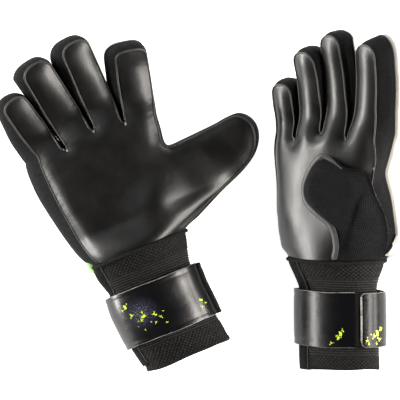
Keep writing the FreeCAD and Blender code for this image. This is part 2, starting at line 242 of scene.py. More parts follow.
class Glove:
    """One glove: where its hand frame lies in the row, and its digits' knuckles in that frame."""

    def __init__(self, name):
        self.name = name
        self.set = GLOVES[name]
        tilt, pitch, roll = self.set["turns"]
        self.rotation = turn("z", tilt) @ turn("x", pitch) @ turn("y", roll)
        mouth = MOUNTS[f"{name}_cuff_mouth"]
        wrist = np.array(mouth["pos_m"]) / MM - np.array(mouth["axis"]) * CUFF_LENGTH
        self.origin = wrist + self.rotation @ np.array((self.set["shift"], 0, self.set["lift"]))
        self.cuff = np.array((self.set["cuff_shift"] - self.set["shift"], 0, -self.set["lift"]), float)
        self.cuff_end = CUFF_LENGTH + self.set["cuff_longer"]
        self.strap_top = STRAP_TOP - self.set["cuff_longer"] * 0.4
        flare = self.set["wrist_flare"]
        self.wrist = (BANDAGE[0] * flare[0] + 0.8, BANDAGE[1] * flare[1] + 0.8)
        self.knuckle = {}
        self.along = {}
        self.across = {}
        for digit in DIGITS:
            joint = JOINTS.get(f"{name}_{digit}_flex") or JOINTS[f"{name}_{digit}_unfold"]
            self.knuckle[digit] = self.rotation.T @ (np.array(joint["pos_m"]) / MM - self.origin)
            splay = turn("z", -self.set["splay"][digit])
            self.along[digit] = splay @ np.array((0, 1.0, 0))
            self.across[digit] = splay @ np.array((1.0, 0, 0))

    def to_row(self, points):
        """Points of the hand frame, in the row's metres."""
        return (np.asarray(points, float) @ self.rotation.T + self.origin) * MM

    def reach(self, digit, points):
        """Distances of points along and across a digit from its knuckle."""
        offset = np.asarray(points, float)[:, :2] - self.knuckle[digit][:2]
        return offset @ self.along[digit][:2], offset @ self.across[digit][:2]

    def place(self, digit, across, along):
        """A flat point given along and across a digit."""
        base = self.knuckle[digit][:2]
        return base + self.along[digit][:2] * along + self.across[digit][:2] * across


# ------------------------------------------------------------------ outlines

def face_size(glove, digit):
    """Width at the knuckle, width near the tip and length of a finger's face, as that glove shows it."""
    root, tip, length = FACES[digit]
    return root, tip, length + glove.set["longer"].get(digit, 0)


def extra_width(glove, digit, marks):
    """How much further the face reaches on the little-finger side, at distances along the finger."""
    return glove.set["wider"].get(digit, 0) * smooth(marks, 0, 34)


def finger_side(glove, digit, side, start):
    """One side of a finger's face, from near its knuckle to where the tip's curve starts."""
    root, tip, length = face_size(glove, digit)
    bend = length - tip * 0.52
    marks = np.linspace(start, bend, max(4, int((bend - start) / 6)))
    halves = (root + (tip - root) * np.clip(marks / length, 0, 1)) / 2
    if side < 0:
        halves = halves + extra_width(glove, digit, marks)
    return [glove.place(digit, side * half, mark) for mark, half in zip(marks, halves)]


def finger_tip(glove, digit):
    """The rounded end of a finger's face, from its outer side to its inner side."""
    root, tip, length = face_size(glove, digit)
    bend = length - tip * 0.52
    half = (root + (tip - root) * bend / length) / 2
    extra = float(extra_width(glove, digit, bend)) / 2
    points = []
    for angle in np.linspace(180, 0, 13)[1:-1]:
        c, s = math.cos(math.radians(angle)), math.sin(math.radians(angle))
        square = glove.set["square"].get(digit, 0)
        across = (half + extra) * np.sign(c) * abs(c) ** (0.78 - square) - extra
        points.append(glove.place(digit, across, bend + (length - bend) * s ** (0.9 - square * 0.7)))
    return points


def crotch_turn(left, right, bottom):
    """The tight turn between two fingers, from one's inner side to the next one's outer side."""
    left, right, bottom = (np.array(p, float) for p in (left, right, bottom))
    middle = (left + right) / 2
    points = []
    for t in np.linspace(0, math.pi, 7)[1:-1]:
        points.append(middle + (left - middle) * math.cos(t) + (bottom - middle) * math.sin(t))
    return points


def front_outline(glove):
    """Outline of the latex palm and faces, anticlockwise seen from the palm side but for the wrist's line.
    It runs from the wrist's outer end, round the digits, to the wrist's inner end."""
    points = [np.array(p, float) for p in glove.set["outer_edge"]]
    for number, digit in enumerate(FINGERS):
        starts = []
        for gap in (number - 1, number):
            if 0 <= gap < len(CROTCHES):
                along, _ = glove.reach(digit, np.array([CROTCHES[gap]]))
                starts.append(float(along[0]) + 4)
            else:
                starts.append(6 if digit == "pinky" else 2)
        outer = finger_side(glove, digit, -1, starts[0])
        inner = finger_side(glove, digit, 1, starts[1])[::-1]
        if number:
            points += crotch_turn(points[-1], outer[0], CROTCHES[number - 1])
        points += outer + finger_tip(glove, digit) + inner
    points += [np.array(p, float) for p in glove.set["thumb_edge"]]
    return spline(points, SPACING)


class Rim:
    """The seam line round the palm side, and what its points need for the strip that hangs from it."""

    def __init__(self, glove):
        self.glove = glove
        self.points = front_outline(glove)
        run = np.gradient(self.points, axis=0)
        run /= np.linalg.norm(run, axis=1)[:, None]
        self.normal = np.column_stack((-run[:, 1], run[:, 0]))
        self.digit = digit_of(glove, self.points)
        self.spread = self.spreads()

    def spreads(self):
        """How far the back seam stands outside the front one, changing evenly along the seam."""
        x, y = self.points.T
        settings = self.glove.set
        side = self.side()
        spread = np.full(len(x), float(settings["inner_side"]))
        for number, name in enumerate(FINGERS):
            outer = (self.digit == number) & (side < 0)
            spread = np.where(outer, settings["finger_spread"].get(name, 0), spread)
            facing = self.normal @ self.glove.along[name][:2]
            ending = smooth(facing, 0.3, 0.95)
            rounded = spread + (settings["tip_spread"] - spread) * ending
            spread = np.where(self.digit == number, rounded, spread)
        hand = self.digit < 0
        outer = hand & (x < 0) & (y < 100) | (self.digit == 0) & (side < 0)
        spread = np.where(outer, np.interp(y, *zip(*settings["outer_spread"])), spread)
        inner = hand & (x > 30) & (y < 96) | (self.digit == 3) & (side > 0)
        inner &= settings["thumb_from"] is None or self.digit < 0
        spread = np.where(inner, np.interp(y, *zip(*settings["inner_spread"])), spread)
        spread = np.where(self.digit == DIGITS.index(THUMB), settings["thumb_spread"], spread)
        weights = np.exp(-(np.arange(-8, 9) / 3.5) ** 2)
        return np.convolve(np.pad(spread, 8, mode="edge"), weights / weights.sum(), mode="valid")

    def side(self):
        """Which side of its digit a point is on: -1 towards the little finger, 1 towards the thumb."""
        result = np.zeros(len(self.points))
        for number, digit in enumerate(FINGERS):
            _, across = self.glove.reach(digit, self.points)
            result = np.where(self.digit == number, np.sign(across), result)
        return result


def gap_directions(glove, gap):
    """Unit directions along and across the line that parts two fingers, which leans with the outer one."""
    line = glove.along[FINGERS[gap]][:2] * 0.9 + glove.along[FINGERS[gap + 1]][:2] * 0.1
    line /= np.linalg.norm(line)
    return line, np.array((line[1], -line[0]))


def digit_of(glove, points):
    """Number of the digit that each flat point belongs to, or -1 for the hand."""
    points = np.asarray(points, float)[:, :2]
    best = np.full(len(points), -1)
    passed = sum(((points - np.array(bottom)) @ gap_directions(glove, gap)[1] > 0).astype(int)
                 for gap, bottom in enumerate(CROTCHES))
    for number, digit in enumerate(FINGERS):
        along, across = glove.reach(digit, points)
        on_finger = (passed == number) & (along > 0) & (np.abs(across) < FINGER_REACH)
        best = np.where(on_finger, number, best)
    if glove.set["thumb_from"]:
        along, across = glove.reach(THUMB, points)
        on_thumb = (along > 0) & (points[:, 0] > glove.set["thumb_from"]) & (np.abs(across) < THUMB_REACH)
        best = np.where(on_thumb, DIGITS.index(THUMB), best)
    return best


# ------------------------------------------------------------------ inflated sheets

# A net's rows are this share of its spacing apart, and its points keep this share of it off the outline.
ROW_SHARE = 0.87
CLEAR_SHARE = 0.62
FILM_LOAD = 1.5
FILM_STEPS = 900
FILM_ERROR = 1e-7


class Sheet:
    """A flat outline filled with an even triangle net. The outline's first `held` points are sewn down."""

    def __init__(self, outline, held, spacing=SPACING):
        low, high = outline.min(axis=0), outline.max(axis=0)
        rows = []
        for index, y in enumerate(np.arange(low[1], high[1], spacing * ROW_SHARE)):
            xs = np.arange(low[0] + (index % 2) * spacing / 2, high[0], spacing)
            rows.append(np.column_stack((xs, np.full(len(xs), y))))
        grid = np.concatenate(rows)
        grid = grid[inside_polygon(grid, outline)]
        gap = np.array([np.min(np.sum((outline - p) ** 2, axis=1)) for p in grid])
        grid = grid[gap > (spacing * CLEAR_SHARE) ** 2]
        coords = [Vector(p) for p in np.concatenate((outline, grid))]
        verts, _, faces, origin, _, _ = delaunay_2d_cdt(coords, [], [list(range(len(outline)))], 1, 1e-5)
        self.points = np.array([v[:] for v in verts])
        self.faces = np.array([f if area2(self.points, f) > 0 else f[::-1] for f in faces if len(f) == 3])
        self.rim_index = {old: new for new, olds in enumerate(origin) for old in olds if old < held}
        pairs = set()
        for a, b, c in self.faces:
            pairs |= {(a, b), (b, a), (b, c), (c, b), (c, a), (a, c)}
        self.pairs = np.array(sorted(pairs))
        self.degree = np.bincount(self.pairs[:, 0], minlength=len(self.points)).astype(float)
        self.free = np.ones(len(self.points))
        self.free[list(set(self.rim_index.values()))] = 0
        film = self.relax(self.free * FILM_LOAD * spacing ** 2, np.zeros(len(self.points)))
        self.swell = np.sqrt(np.maximum(2 * film, 0))

    def around(self, values):
        """Sum of the values at each point's neighbours."""
        return np.bincount(self.pairs[:, 0], weights=values[self.pairs[:, 1]], minlength=len(values))

    def relax(self, load, start):
        """Height of a soap film under a load, held where the net is sewn down."""
        def pull(values):
            return self.free * (self.degree * values - self.around(values))

        height = start.copy()
        residue = load - pull(height)
        step = residue.copy()
        power = residue @ residue
        for _ in range(FILM_STEPS):
            if power < FILM_ERROR:
                break
            pulled = pull(step)
            amount = power / (step @ pulled)
            height += amount * step
            residue -= amount * pulled
            new_power = residue @ residue
            step = residue + new_power / power * step
            power = new_power
        return height

    def even(self, height, times=4):
        """Heights with the net's own unevenness smoothed out of them."""
        for _ in range(times):
            near = self.around(height) / self.degree
            height = np.where(self.free > 0, 0.4 * height + 0.6 * near, height)
        return height

    def span(self, rim_heights):
        """Heights that run evenly between those of the sewn-down rim."""
        start = np.zeros(len(self.points))
        for old, new in self.rim_index.items():
            start[new] = rim_heights[old]
        return self.relax(np.zeros(len(start)), start)


def wrist_line(outline):
    """Evenly spaced points across the wrist, from the outline's last point to its first, without those."""
    last, first = outline[-1], outline[0]
    number = int(round(np.linalg.norm(last - first) / SPACING))
    return np.array([last + (first - last) * k / number for k in range(1, number)])


def area2(points, face):
    """Twice a flat triangle's area, which is negative where it runs clockwise."""
    a, b, c = (points[i] for i in face[:3])
    return (b[0] - a[0]) * (c[1] - a[1]) - (b[1] - a[1]) * (c[0] - a[0])


def crown(swell, shape):
    """A rise that steepens near the seam and levels out: the shape gives its height and its scale."""
    height, scale = shape
    return height * (1 - np.exp(-swell / scale))


# ------------------------------------------------------------------ heights in the hand frame

def seam_height(glove, points, digit, levels):
    """Height of a seam line: the hand's level, sinking to the digits' own level along them."""
    height = np.full(len(points), levels[HAND])
    for number, name in enumerate(DIGITS):
        along, _ = glove.reach(name, points)
        sink = smooth(along, 0, 26) * (levels["digit"] - levels[HAND])
        height = np.where(digit == number, levels[HAND] + sink, height)
    return height


def thenar(glove, points):
    """How far the ball of the thumb lifts the palm's inner edge."""
    x, y = points[:, 0], points[:, 1]
    return glove.set["thenar_rise"] * smooth(x, 6, 46) * np.exp(-((y - 36) / 24.0) ** 2)


def crotch_share(points):
    """1 at the bottom of a gap between two fingers, falling to 0 away from it."""
    gaps = [np.hypot(points[:, 0] - x, points[:, 1] - y) for x, y in CROTCHES]
    return np.exp(-(np.min(gaps, axis=0) / CROTCH_REACH) ** 2)


def front_height(glove, points, digit):
    """Height of the front seam. It rises between two fingers, so that the palm runs level into them."""
    level = seam_height(glove, points, digit, glove.set["front_seam"])
    return level + thenar(glove, points) + CROTCH_LIFT * crotch_share(points)


def ball(glove, points):
    """The soft bulge of the ball of the thumb and the heel of the palm."""
    x, y, width, height = glove.set["ball"]
    first = np.exp(-((points[:, 0] - x) ** 2 + (points[:, 1] - y) ** 2) / width ** 2)
    heel = np.exp(-((points[:, 0] + 26) ** 2 / 18 ** 2 + (points[:, 1] - 24) ** 2 / 20 ** 2))
    hollow = np.exp(-((points[:, 0] - 2) ** 2 / 16 ** 2 + (points[:, 1] - 58) ** 2 / 22 ** 2))
    return height * first + 1.2 * heel - hollow


def cuff_share(glove, points):
    """1 at the wrist seam, where the hand takes the cuff's oval shape, falling to 0 up the palm."""
    return 1 - smooth(points[:, 1], 2, glove.set["cuff_reach"])


def narrow_share(points):
    """The same for the hand's width, which takes the cuff's only close to it."""
    return 1 - smooth(points[:, 1], 0, 9)


def cuff_across(glove, flat):
    """Where points lie across the cuff's oval, widened with the hand: -1 and 1 are just outside its edges."""
    right = [point for point in glove.set["thumb_edge"] if point[1] < CUFF_EDGES][::-1]
    left = [point for point in glove.set["outer_edge"] if point[1] < CUFF_EDGES]
    middle = glove.cuff[0]
    halves = []
    for side, edge in ((1, right), (-1, left)):
        xs, ys = zip(*edge)
        halves.append(side * (np.interp(flat[:, 1], ys, xs) - xs[0]) + glove.wrist[0])
    return (flat[:, 0] - middle) / np.where(flat[:, 0] > middle, *halves)


def cuff_height(glove, flat, side):
    """Height of the cuff's oval over a place across it."""
    return glove.cuff[2] + side * glove.wrist[1] * np.sqrt(1 - np.clip(cuff_across(glove, flat), -1, 1) ** 2)


def floor_height(glove, flat):
    """Height in the hand frame of the surface that the glove lies on."""
    row = glove.rotation[2]
    return (0.4 - glove.origin[2] - flat @ row[:2]) / row[2]


def knuckle_creases(glove, points):
    """Shallow folds across the root of each finger."""
    drop = np.zeros(len(points))
    for number, name in enumerate(FINGERS):
        along, across = glove.reach(name, points)
        width = FACES[name][0] / 2
        window = 1 - smooth(np.abs(across), width * 0.6, width)
        for place, depth in ((-2.5, 0.05), (3.5, 0.12), (9, 0.05)):
            bow = place + 0.9 * np.sin(across / 5 + number)
            drop += window * depth * np.exp(-((along - bow) / 1.3) ** 2) * (np.abs(along) < 20)
    return drop


def palm_folds(points):
    """Long soft folds of the palm: round the ball of the thumb and below the fingers."""
    x, y = points[:, 0], points[:, 1]
    ball = np.hypot(x - 54, (y - 18) / 1.1) - 44
    across = y - 86 - 0.08 * x
    return (0.2 * np.exp(-(ball / 7.0) ** 2) * smooth(x, -25, 5) * (1 - smooth(y, 62, 80))
            + 0.1 * np.exp(-(across / 5.0) ** 2) * smooth(x, -48, -30) * (1 - smooth(x, 30, 45)))


# ------------------------------------------------------------------ bending into the resting pose

def pose(glove, points, digit):
    """Raises, rolls and curls every digit about its own knuckle, smoothly along it."""
    result = np.array(points, float)
    for number, name in enumerate(DIGITS):
        chosen = digit == number
        if not chosen.any():
            continue
        knuckle = glove.knuckle[name]
        axes = np.column_stack((glove.across[name], glove.along[name], (0, 0, 1)))
        local = (result[chosen] - knuckle) @ axes
        local = roll_and_curl(local, *(glove.set[bend][name] for bend in ("roll", "pitch", "curl")))
        share = np.ones((chosen.sum(), 1))
        if name == THUMB:
            start = glove.set["thumb_from"]
            share[:, 0] = smooth(result[chosen, 0], start, start + THUMB_FADE)
        result[chosen] += (local @ axes.T + knuckle - result[chosen]) * share
    return result


def roll_and_curl(local, roll, pitch, curl):
    """In a digit's frame: roll about its length, then bend up from its root and again past its middle."""
    x, y, z = local.T
    share = smooth(y, 0, 34)
    angle = np.radians(roll) * share
    x, z = x * np.cos(angle) + z * np.sin(angle), -x * np.sin(angle) + z * np.cos(angle)
    for start, reach, degrees in ((0, 30, pitch), (32, 44, curl)):
        bend = np.radians(degrees) * smooth(y, start, start + reach)
        ahead = y - start
        y = np.where(ahead > 0, start + ahead * np.cos(bend) - z * np.sin(bend), y)
        z = np.where(ahead > 0, ahead * np.sin(bend) + z * np.cos(bend), z)
    return np.column_stack((x, y, z))


# ------------------------------------------------------------------ Blender meshes

def add_mesh(name, points, faces, looks, uvs, normals=None, face_looks=None):
    """A smooth-shaded mesh in row metres, pressed flat where it would sink into the surface below it."""
    mesh = bpy.data.meshes.new(name)
    points = np.array(points, float)
    points[:, 2] = np.maximum(points[:, 2], FLOOR_GAP)
    mesh.from_pydata([tuple(p) for p in points], [], [tuple(int(i) for i in f) for f in faces])
    for look in looks:
        mesh.materials.append(MATERIALS[look])
    mesh.polygons.foreach_set("use_smooth", [True] * len(mesh.polygons))
    if face_looks is not None:
        mesh.polygons.foreach_set("material_index", face_looks)
    layer = mesh.uv_layers.new(name="cloth")
    loops = np.zeros(len(mesh.loops), dtype=np.int32)
    mesh.loops.foreach_get("vertex_index", loops)
    layer.data.foreach_set("uv", (np.asarray(uvs) * CLOTH_SCALE).astype(np.float32)[loops].ravel())
    mesh.update()
    if normals is not None:
        mesh.normals_split_custom_set_from_vertices([tuple(n) for n in normals])
    piece = bpy.data.objects.new(name, mesh)
    bpy.context.scene.collection.objects.link(piece)
    return piece


def glove_mesh(glove, label, points, faces, *looks, uvs=None, face_looks=None):
    """A mesh given in the hand frame. Its cloth map follows X and Y unless it has its own."""
    uvs = points[:, :2] if uvs is None else uvs
    return add_mesh(f"{glove.name}_{label}", glove.to_row(points), faces, looks, uvs, face_looks=face_looks)


def vertex_normals(points, faces):
    """Area-weighted normals of a triangle or quad net."""
    normals = np.zeros_like(points)
    for face in (faces[:, (0, 1, 2)],) + ((faces[:, (0, 2, 3)],) if faces.shape[1] == 4 else ()):
        a, b, c = (points[face[:, k]] for k in range(3))
        cross = np.cross(b - a, c - a)
        for k in range(3):
            np.add.at(normals, face[:, k], cross)
    length = np.linalg.norm(normals, axis=1)
    return normals / np.maximum(length, 1e-12)[:, None]


def split_by_digit(digit, faces):
    """Which digit each face goes with: a face reaching behind a knuckle stays with the hand."""
    return np.where(digit[faces].min(axis=1) < 0, -1, digit[faces[:, 0]])


def cut_pieces(glove, label, digit, points, faces, look, uvs, dress):
    """Makes one piece for each body that a net crosses, all with the whole net's normals."""
    row = glove.to_row(points)
    normals = vertex_normals(row, faces)
    owner = split_by_digit(digit, faces)
    for number in sorted(set(owner)):
        body = digit_name(number)
        chosen = faces[owner == number]
        used = np.unique(chosen)
        lookup = np.full(len(points), -1)
        lookup[used] = np.arange(len(used))
        name = f"{glove.name}_{body}_{label}"
        piece = add_mesh(name, row[used], lookup[chosen], [look], uvs[used], normals[used])
        follow(glove, piece, body)
        dress(piece, body)


def cut_band(glove, rim, label, rows, look, step, dress):
    """Rows that hang from the seam, joined by quads and cut into pieces. They are `step` apart on the map."""
    points, faces = lofted([pose(glove, row, rim.digit) for row in rows])
    along = distance_along(rim.points)
    uvs = np.array([(place, level * step) for level in range(len(rows)) for place in along])
    cut_pieces(glove, label, np.tile(rim.digit, len(rows)), points, faces, look, uvs, dress)


def digit_name(number):
    """The digit with that number, where -1 is the hand."""
    return HAND if number < 0 else DIGITS[number]


def follow(glove, piece, digit):
    """The piece rides on the hand; a digit's piece only has its place baked into its mesh, and the two points
    worked out along its digit are not used.
    """
    if digit == HAND:
        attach(piece, f"{glove.name}_hand")
        return
    knuckle, along = glove.knuckle[digit], glove.along[digit]
    start = glove.to_row(knuckle + along * KNUCKLE_BEND[0])
    end = glove.to_row(knuckle + along * KNUCKLE_BEND[1])
    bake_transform(piece)


def tube(path, radius, sides=8, closed=False, flatten=1.0, up=None, taper=None):
    """Points and quads of a round bead along a path. A flattened bead is thinner along `up`, and taper gives
    the shares of its radius that its first and last points have."""
    path = np.asarray(path, float)
    if taper:
        share = np.linspace(0, 1, len(path))
        first, last = taper
        slimmer = 1 - (1 - first) * (1 - smooth(share, 0, 0.12)) - (1 - last) * smooth(share, 0.8, 1)
        radius = (radius * slimmer)[:, None]
    run = np.gradient(path, axis=0)
    if closed:
        run = np.roll(path, -1, axis=0) - np.roll(path, 1, axis=0)
    run /= np.maximum(np.linalg.norm(run, axis=1), 1e-9)[:, None]
    up = np.tile((0, 0, 1.0), (len(path), 1)) if up is None else up
    side = np.cross(run, up)
    side /= np.maximum(np.linalg.norm(side, axis=1), 1e-9)[:, None]
    lift = np.cross(side, run)
    rings = []
    for angle in np.linspace(0, 2 * math.pi, sides, endpoint=False):
        rings.append(path + radius * (side * math.cos(angle) + lift * math.sin(angle) * flatten))
    points = np.stack(rings, axis=1).reshape(-1, 3)
    faces = []
    count = len(path)
    for i in range(count if closed else count - 1):
        j = (i + 1) % count
        for k in range(sides):
            n = (k + 1) % sides
            faces.append((i * sides + k, j * sides + k, j * sides + n, i * sides + n))
    if not closed:
        faces.append(tuple(range(sides)))
        faces.append(tuple((count - 1) * sides + k for k in reversed(range(sides))))
    return points, faces


def joined(nets):
    """One net made of several, each given as its points and faces."""
    points, faces = [], []
    for net_points, net_faces in nets:
        faces += [tuple(i + len(points) for i in face) for face in net_faces]
        points += list(net_points)
    return np.array(points), faces


def lofted(rows, closed=False):
    """Quads between rows of equally many points."""
    rows = np.asarray(rows, float)
    levels, count = rows.shape[:2]
    faces = []
    for i in range(levels - 1):
        for k in range(count if closed else count - 1):
            n = (k + 1) % count
            faces.append((i * count + k, i * count + n, (i + 1) * count + n, (i + 1) * count + k))
    return rows.reshape(-1, 3), np.array(faces)


# ------------------------------------------------------------------ the hand and its digits

STRIP_ROWS = 9
FOAM_ROWS = 5


def front_rim_points(glove, rim):
    """The front seam in the hand frame, before the digits are posed."""
    flat = rim.points
    height = front_height(glove, flat, rim.digit)
    share = cuff_share(glove, flat)
    height = height * (1 - share) + cuff_height(glove, flat, 1) * share
    return np.column_stack((flat, height))


def strip_points(glove, rim):
    """Rows of the mesh strip from the front seam down and round to the back seam."""
    front = front_rim_points(glove, rim)
    low = seam_height(glove, rim.points, rim.digit, BACK_SEAM)
    share, narrow = cuff_share(glove, rim.points), narrow_share(rim.points)
    across = (front[:, 0] - glove.cuff[0]) / glove.wrist[0]
    start = np.arctan2((front[:, 2] - glove.cuff[2]) / glove.wrist[1], across)
    around = np.where(front[:, 0] < 0, 2 * math.pi - 2 * start, -2 * start)
    rows = []
    for level in range(STRIP_ROWS):
        t = level / (STRIP_ROWS - 1)
        out = rim.spread * t + (GUSSET_BULGE + 0.12 * rim.spread) * math.sin(math.pi * t)
        flat = rim.points + rim.normal * out[:, None]
        flat = keep_apart(glove, rim, flat)
        height = front[:, 2] + (low - front[:, 2]) * t
        angle = start + around * t
        oval_x = glove.cuff[0] + glove.wrist[0] * np.cos(angle)
        oval_z = glove.cuff[2] + glove.wrist[1] * np.sin(angle)
        x = flat[:, 0] * (1 - narrow) + oval_x * narrow
        z = height * (1 - share) + oval_z * share
        rows.append(np.column_stack((x, flat[:, 1], z)))
    return np.array(rows)


def keep_apart(glove, rim, flat):
    """Keeps neighbouring digits' strips on their own side of the line between the digits."""
    flat = flat.copy()
    for gap, bottom in enumerate(CROTCHES):
        line, across = gap_directions(glove, gap)
        ahead = (flat - np.array(bottom)) @ line
        beside = (flat - np.array(bottom)) @ across
        rim_beside = (rim.points - np.array(bottom)) @ across
        inner_room = GAP_ROOM - np.clip(0.03 * ahead, 0, 1.8)
        for number, sign, room in ((gap, -1, GAP_ROOM), (gap + 1, 1, inner_room)):
            limit = np.minimum(room, rim_beside * sign)
            wrong = (rim.digit == number) & (ahead > -3) & (beside * sign < limit)
            flat[wrong] += across * (sign * limit - beside)[wrong][:, None]
    return flat


def relief(points, amount, seed):
    """Slow unevenness of a hand-filled glove's surface."""
    return amount * (0.7 * ripple(points, 26, seed) + 0.3 * ripple(points, 11, seed + 5))


def build_front(glove, rim, dress, thumb=None):
    """The latex palm and faces, one membrane pressed out from inside, and pressed in under a folded thumb."""
    sheet = Sheet(np.concatenate((rim.points, wrist_line(rim.points))), len(rim.points))
    flat = sheet.points
    digit = digit_of(glove, flat)
    height = front_height(glove, flat, digit)
    on_hand = hand_share(glove, flat, digit)
    rise = ball(glove, flat) + glove.set["dome"] * (1 - (flat[:, 0] / 50) ** 2)
    height += rise * smooth(sheet.swell, 5, 24) * on_hand
    puff = crown(sheet.swell, glove.set["palm_crown"]) * (0.74 + 0.26 * on_hand)
    height += puff * (1 - CROTCH_LEVEL * crotch_share(flat))
    height += relief(flat, 0.2 + 0.35 * on_hand, 3.1) * smooth(sheet.swell, 3, 14)
    height = sheet.even(height, 28)
    height -= knuckle_creases(glove, flat) + palm_folds(flat) * smooth(sheet.swell, 3, 14)
    share = cuff_share(glove, flat)
    height = height * (1 - share) + cuff_height(glove, flat, 1) * share
    if thumb:
        height = sheet.even(np.minimum(height, under_thumb(flat, *thumb)), 3)
    points = pose(glove, np.column_stack((flat, height)), digit)
    cut_pieces(glove, "latex", digit, points, sheet.faces, "palm_latex", flat, dress)


def hand_share(glove, flat, digit):
    """1 over the palm, fading to 0 along each digit."""
    share = np.where(digit < 0, 1.0, 0.0)
    for number, name in enumerate(FINGERS):
        along, _ = glove.reach(name, flat)
        share = np.where(digit == number, 1 - smooth(along, 0, 22), share)
    if glove.set["thumb_from"]:
        start = glove.set["thumb_from"]
        share *= 1 - 0.45 * smooth(flat[:, 0], start - 22, start + THUMB_FADE)
    return share


def build_strip(glove, rim, dress):
    """The mesh strip round the sides of the hand and digits, and its lower edge."""
    rows = strip_points(glove, rim)
    cut_band(glove, rim, "mesh", rows, "side_mesh", 3.0, dress)
    return rows[-1]


def build_foam_side(glove, rim, edge):
    """The cut side of the backhand foam, just below the mesh strip, and the rim that its back starts from."""
    share = cuff_share(glove, rim.points)
    inner = np.isin(rim.digit, (-1, 3)) & (rim.points[:, 0] > 20)
    reach = np.where(inner, glove.set["foam_out"] * smooth(rim.normal[:, 0], 0.2, 0.8), -0.8)
    reach = np.convolve(np.pad(reach, 3, mode="edge"), np.full(7, 1 / 7), mode="valid")
    rows = []
    for level in range(FOAM_ROWS):
        t = level / (FOAM_ROWS - 1)
        out = reach * math.sin(math.pi * min(t * 0.75, 0.5)) * (1 - narrow_share(rim.points))
        flat = keep_apart(glove, rim, edge[:, :2] + rim.normal * out[:, None])
        rows.append(np.column_stack((flat, edge[:, 2] - FOAM_SIDE * t * (1 - share))))
    cut_band(glove, rim, "foam_side", rows, "back_foam", 0.8, lambda piece, body: piece)
    return rows[-1]


def build_back(glove, rim, edge, dress):
    """The foam back, pressed out downwards, and flat where the glove lies on it."""
    sheet = Sheet(np.concatenate((edge[:, :2], wrist_line(edge[:, :2]))), len(edge))
    flat = sheet.points
    digit = digit_of(glove, flat)
    nearest = rim.digit[[np.argmin(np.hypot(*(edge[:, :2] - point).T)) for point in flat]]
    digit = np.where((digit >= 0) & (nearest >= 0), nearest, digit)
    height = seam_height(glove, flat, digit, BACK_SEAM) - FOAM_SIDE
    height -= crown(sheet.swell, BACK_CROWN) + relief(flat, 0.5, 8.3) * smooth(sheet.swell, 3, 14)
    height = sheet.even(height, 9)
    share = cuff_share(glove, flat) * (1 - smooth(np.abs(cuff_across(glove, flat)), 0.8, 1.1))
    height = height * (1 - share) + cuff_height(glove, flat, -1) * share
    height = np.maximum(height, floor_height(glove, flat))
    for new_edge, index in sheet.rim_index.items():
        height[index] = edge[new_edge, 2]
    points = pose(glove, np.column_stack((flat, height)), digit)
    cut_pieces(glove, "foam", digit, points, sheet.faces[:, ::-1], "back_foam", flat, dress)


def split_line(owner):
    """Stretches of a line that belong to one digit, as slices that share their end points."""
    stretches = []
    start = 0
    for index in range(1, len(owner)):
        if owner[index] != owner[start]:
            stretches.append((owner[start], slice(start, index + 1)))
            start = index
    stretches.append((owner[start], slice(start, len(owner))))
    return stretches


def build_beads(glove, rim, line, label, radius, look):
    """The welt that finishes a seam, one piece for each body it crosses."""
    posed = pose(glove, line, rim.digit)
    groups = {}
    for number, stretch in split_line(rim.digit):
        if stretch.stop - stretch.start > 2:
            groups.setdefault(number, []).append(tube(posed[stretch], radius, flatten=0.8))
    for number, beads in groups.items():
        body = digit_name(number)
        piece = glove_mesh(glove, f"{body}_{label}", *joined(beads), look)
        follow(glove, piece, body)


# ------------------------------------------------------------------ the folded thumb

# Outline of the thumb that lies over the palm of the folded glove: across, along and up in its hand frame.
# It runs from the wrist, round the thumb's free edge and tip, then back over the web and down the side seam.
# Its first LEAF_RIM points have the rolled edge.
LEAF = (
    (22, 3, 27), (24.7, 14, 28.5), (22, 28.5, 31), (9, 38.8, 33), (-2.5, 49, 33), (-5.3, 63, 32),
    (2.3, 80, 31), (13, 89.5, 30), (23, 86.5, 29), (33, 79.5, 27), (42, 78, 23.5), (48.5, 75, 16),
    (51.5, 66, 13), (54, 55, 10), (57, 39, 2), (56, 22, -4), (50, 4, -4), (44, 2, 9), (37, 1.5, 18),
    (29, 1.5, 24),
)
LEAF_RIM = 10
LEAF_BLEND = (np.array((-0.86, 0.51, 0)), 3, 42)

# Folds of its mesh where it turns over the palm: each one's line, depth and width.
LEAF_CREASES = (
    (((38, 77), (46, 63), (43, 49), (37, 30), (31, 12)), 2.6, 2.6),
    (((50, 66), (56, 46), (53, 24)), 1.0, 2.2),
    (((36, 77), (44, 75), (51, 70)), 1.8, 1.2),
    (((41, 72), (47, 71), (53, 64)), 1.5, 1.1),
)


def leaf_creases(points):
    """How deep the folds of the thumb's mesh are at each point."""
    drop = np.zeros(len(points))
    for line, depth, width in LEAF_CREASES:
        curve = spline(line, 1.0)
        away = np.linalg.norm(points[:, None] - curve[None], axis=2)
        share = np.argmin(away, axis=1) / (len(curve) - 1)
        middle = 0.35 + 0.65 * np.sin(math.pi * np.clip(share, 0.08, 0.92))
        drop += depth * np.exp(-(away.min(axis=1) / width) ** 2) * middle
    return drop


def leaf_sheet():
    """The folded thumb's net, its rim, and the heights of its two sides."""
    rim = spline(LEAF, SPACING, closed=True)
    sheet = Sheet(rim[:, :2], len(rim))
    flat = sheet.points
    base = sheet.span(rim[:, 2])
    puff = sheet.even(crown(sheet.swell, (15.0, 15.0)), 6) * smooth(sheet.swell, 4, 18)
    top = base + puff - leaf_creases(flat) * smooth(sheet.swell, 2, 10)
    top += relief(flat, 0.9, 4.7) * smooth(sheet.swell, 2, 12)
    under = base - crown(sheet.swell, (1.8, 2.0)) - crown(sheet.swell, (4.5, 9.0)) * smooth(flat[:, 1], 8, 30)
    return rim, sheet, top, under


